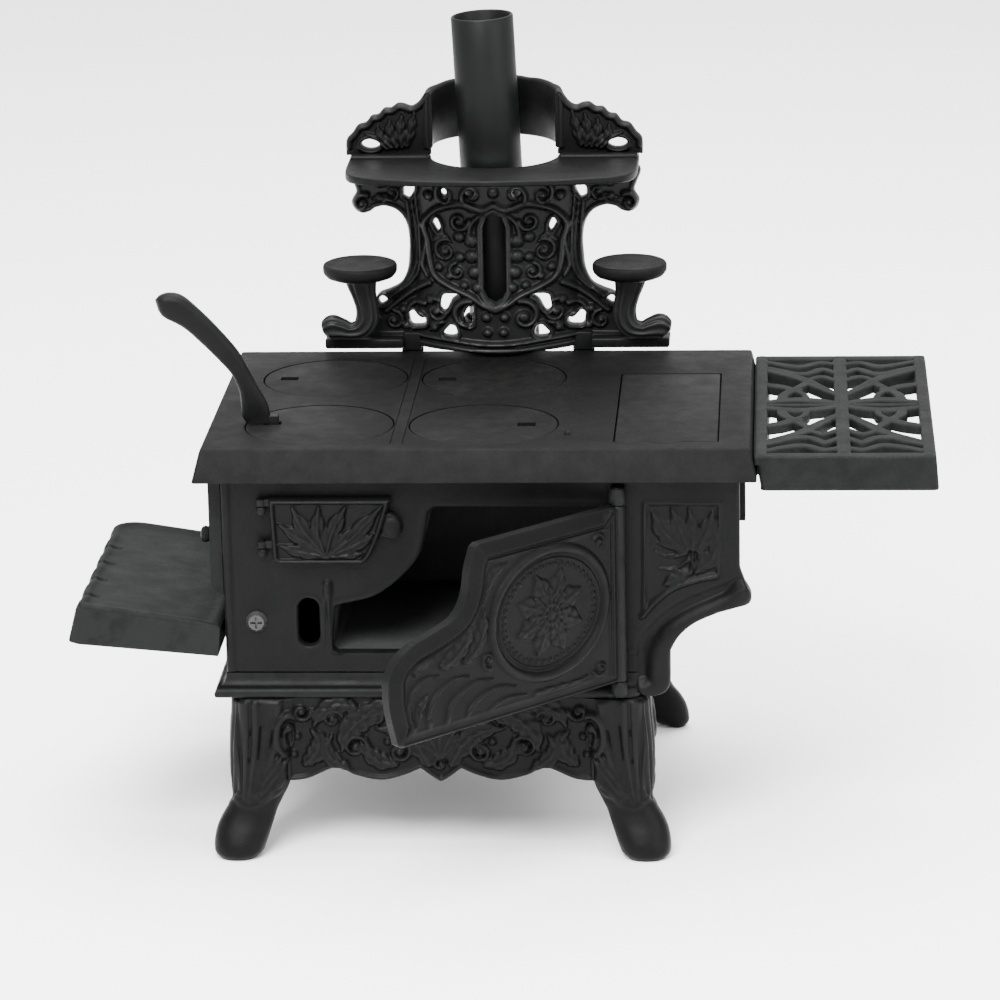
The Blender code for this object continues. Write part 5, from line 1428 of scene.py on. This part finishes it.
# ------------------------------ camera, light and floor
def camera():
    """The photograph's long-lens view from a little above and to the right."""
    place = world((201.37, -1527.08, 585.60))
    pitch, yaw, roll = math.radians(16.554), math.radians(3.643), math.radians(-1.1647)
    ahead = Vector((-math.sin(yaw), math.cos(yaw), 0))
    right = Vector((math.cos(yaw), math.sin(yaw), 0))
    look = ahead * math.cos(pitch) + Vector((0, 0, -math.sin(pitch)))
    up = ahead * math.sin(pitch) + Vector((0, 0, math.cos(pitch)))
    side = right * math.cos(roll) + up * math.sin(roll)
    top = -right * math.sin(roll) + up * math.cos(roll)
    cam = bpy.data.objects.new("camera", bpy.data.cameras.new("camera"))
    cam.data.sensor_width, cam.data.lens = 36, 165.98
    cam.data.clip_start, cam.data.clip_end = 0.05, 30
    turn = Matrix((side, top, -look)).transposed()
    cam.matrix_world = Matrix.Translation(Vector(place)) @ turn.to_4x4()
    bpy.context.scene.collection.objects.link(cam)
    bpy.context.scene.camera = cam


def area(name, place, target, size, power):
    """A square soft light; place, target and size are in metres."""
    data = bpy.data.lights.new(name, "AREA")
    data.shape, data.size, data.size_y, data.energy = "RECTANGLE", size, size, power
    lamp = bpy.data.objects.new(name, data)
    lamp.location = place
    aim = Vector(target) - Vector(place)
    lamp.rotation_euler = aim.to_track_quat("-Z", "Y").to_euler()
    bpy.context.scene.collection.objects.link(lamp)


def studio():
    """A pale floor, an even white sky and three soft lights."""
    mesh = bpy.data.meshes.new("floor")
    mesh.from_pydata([(-6, -4, 0), (6, -4, 0), (6, 9, 0), (-6, 9, 0)], [], [(0, 1, 2, 3)])
    floor = bpy.data.objects.new("floor", mesh)
    floor.location.z = -0.0002
    bpy.context.scene.collection.objects.link(floor)
    paper = bpy.data.materials.new("white_paper")
    paper.use_nodes = True
    shader = paper.node_tree.nodes["Principled BSDF"]
    shader.inputs["Base Color"].default_value = (0.94, 0.94, 0.94, 1)
    shader.inputs["Roughness"].default_value = 0.8
    mesh.materials.append(paper)
    sky = bpy.data.worlds.new("studio")
    sky.use_nodes = True
    background = sky.node_tree.nodes["Background"]
    background.inputs["Color"].default_value = (1, 1, 1, 1)
    background.inputs["Strength"].default_value = 1.9
    bpy.context.scene.world = sky
    area("key", (-0.35, -1.3, 1.6), (0, 0, 0.1), 1, 130)
    area("fill", (1.4, -1, 0.9), (0, 0, 0.12), 1.2, 30)
    area("top", (0.1, 0.3, 1.6), (0, 0, 0.1), 1.5, 80)


for step in (camera, studio, hob, lids, reservoir_lid, lifter, front_casting, oven_door,
        firebox_door, base, legs, splash_back, warming_shelf, crest, trivets, stovepipe,
        grille_shelf, ash_shelf, finish_kept):
    step()
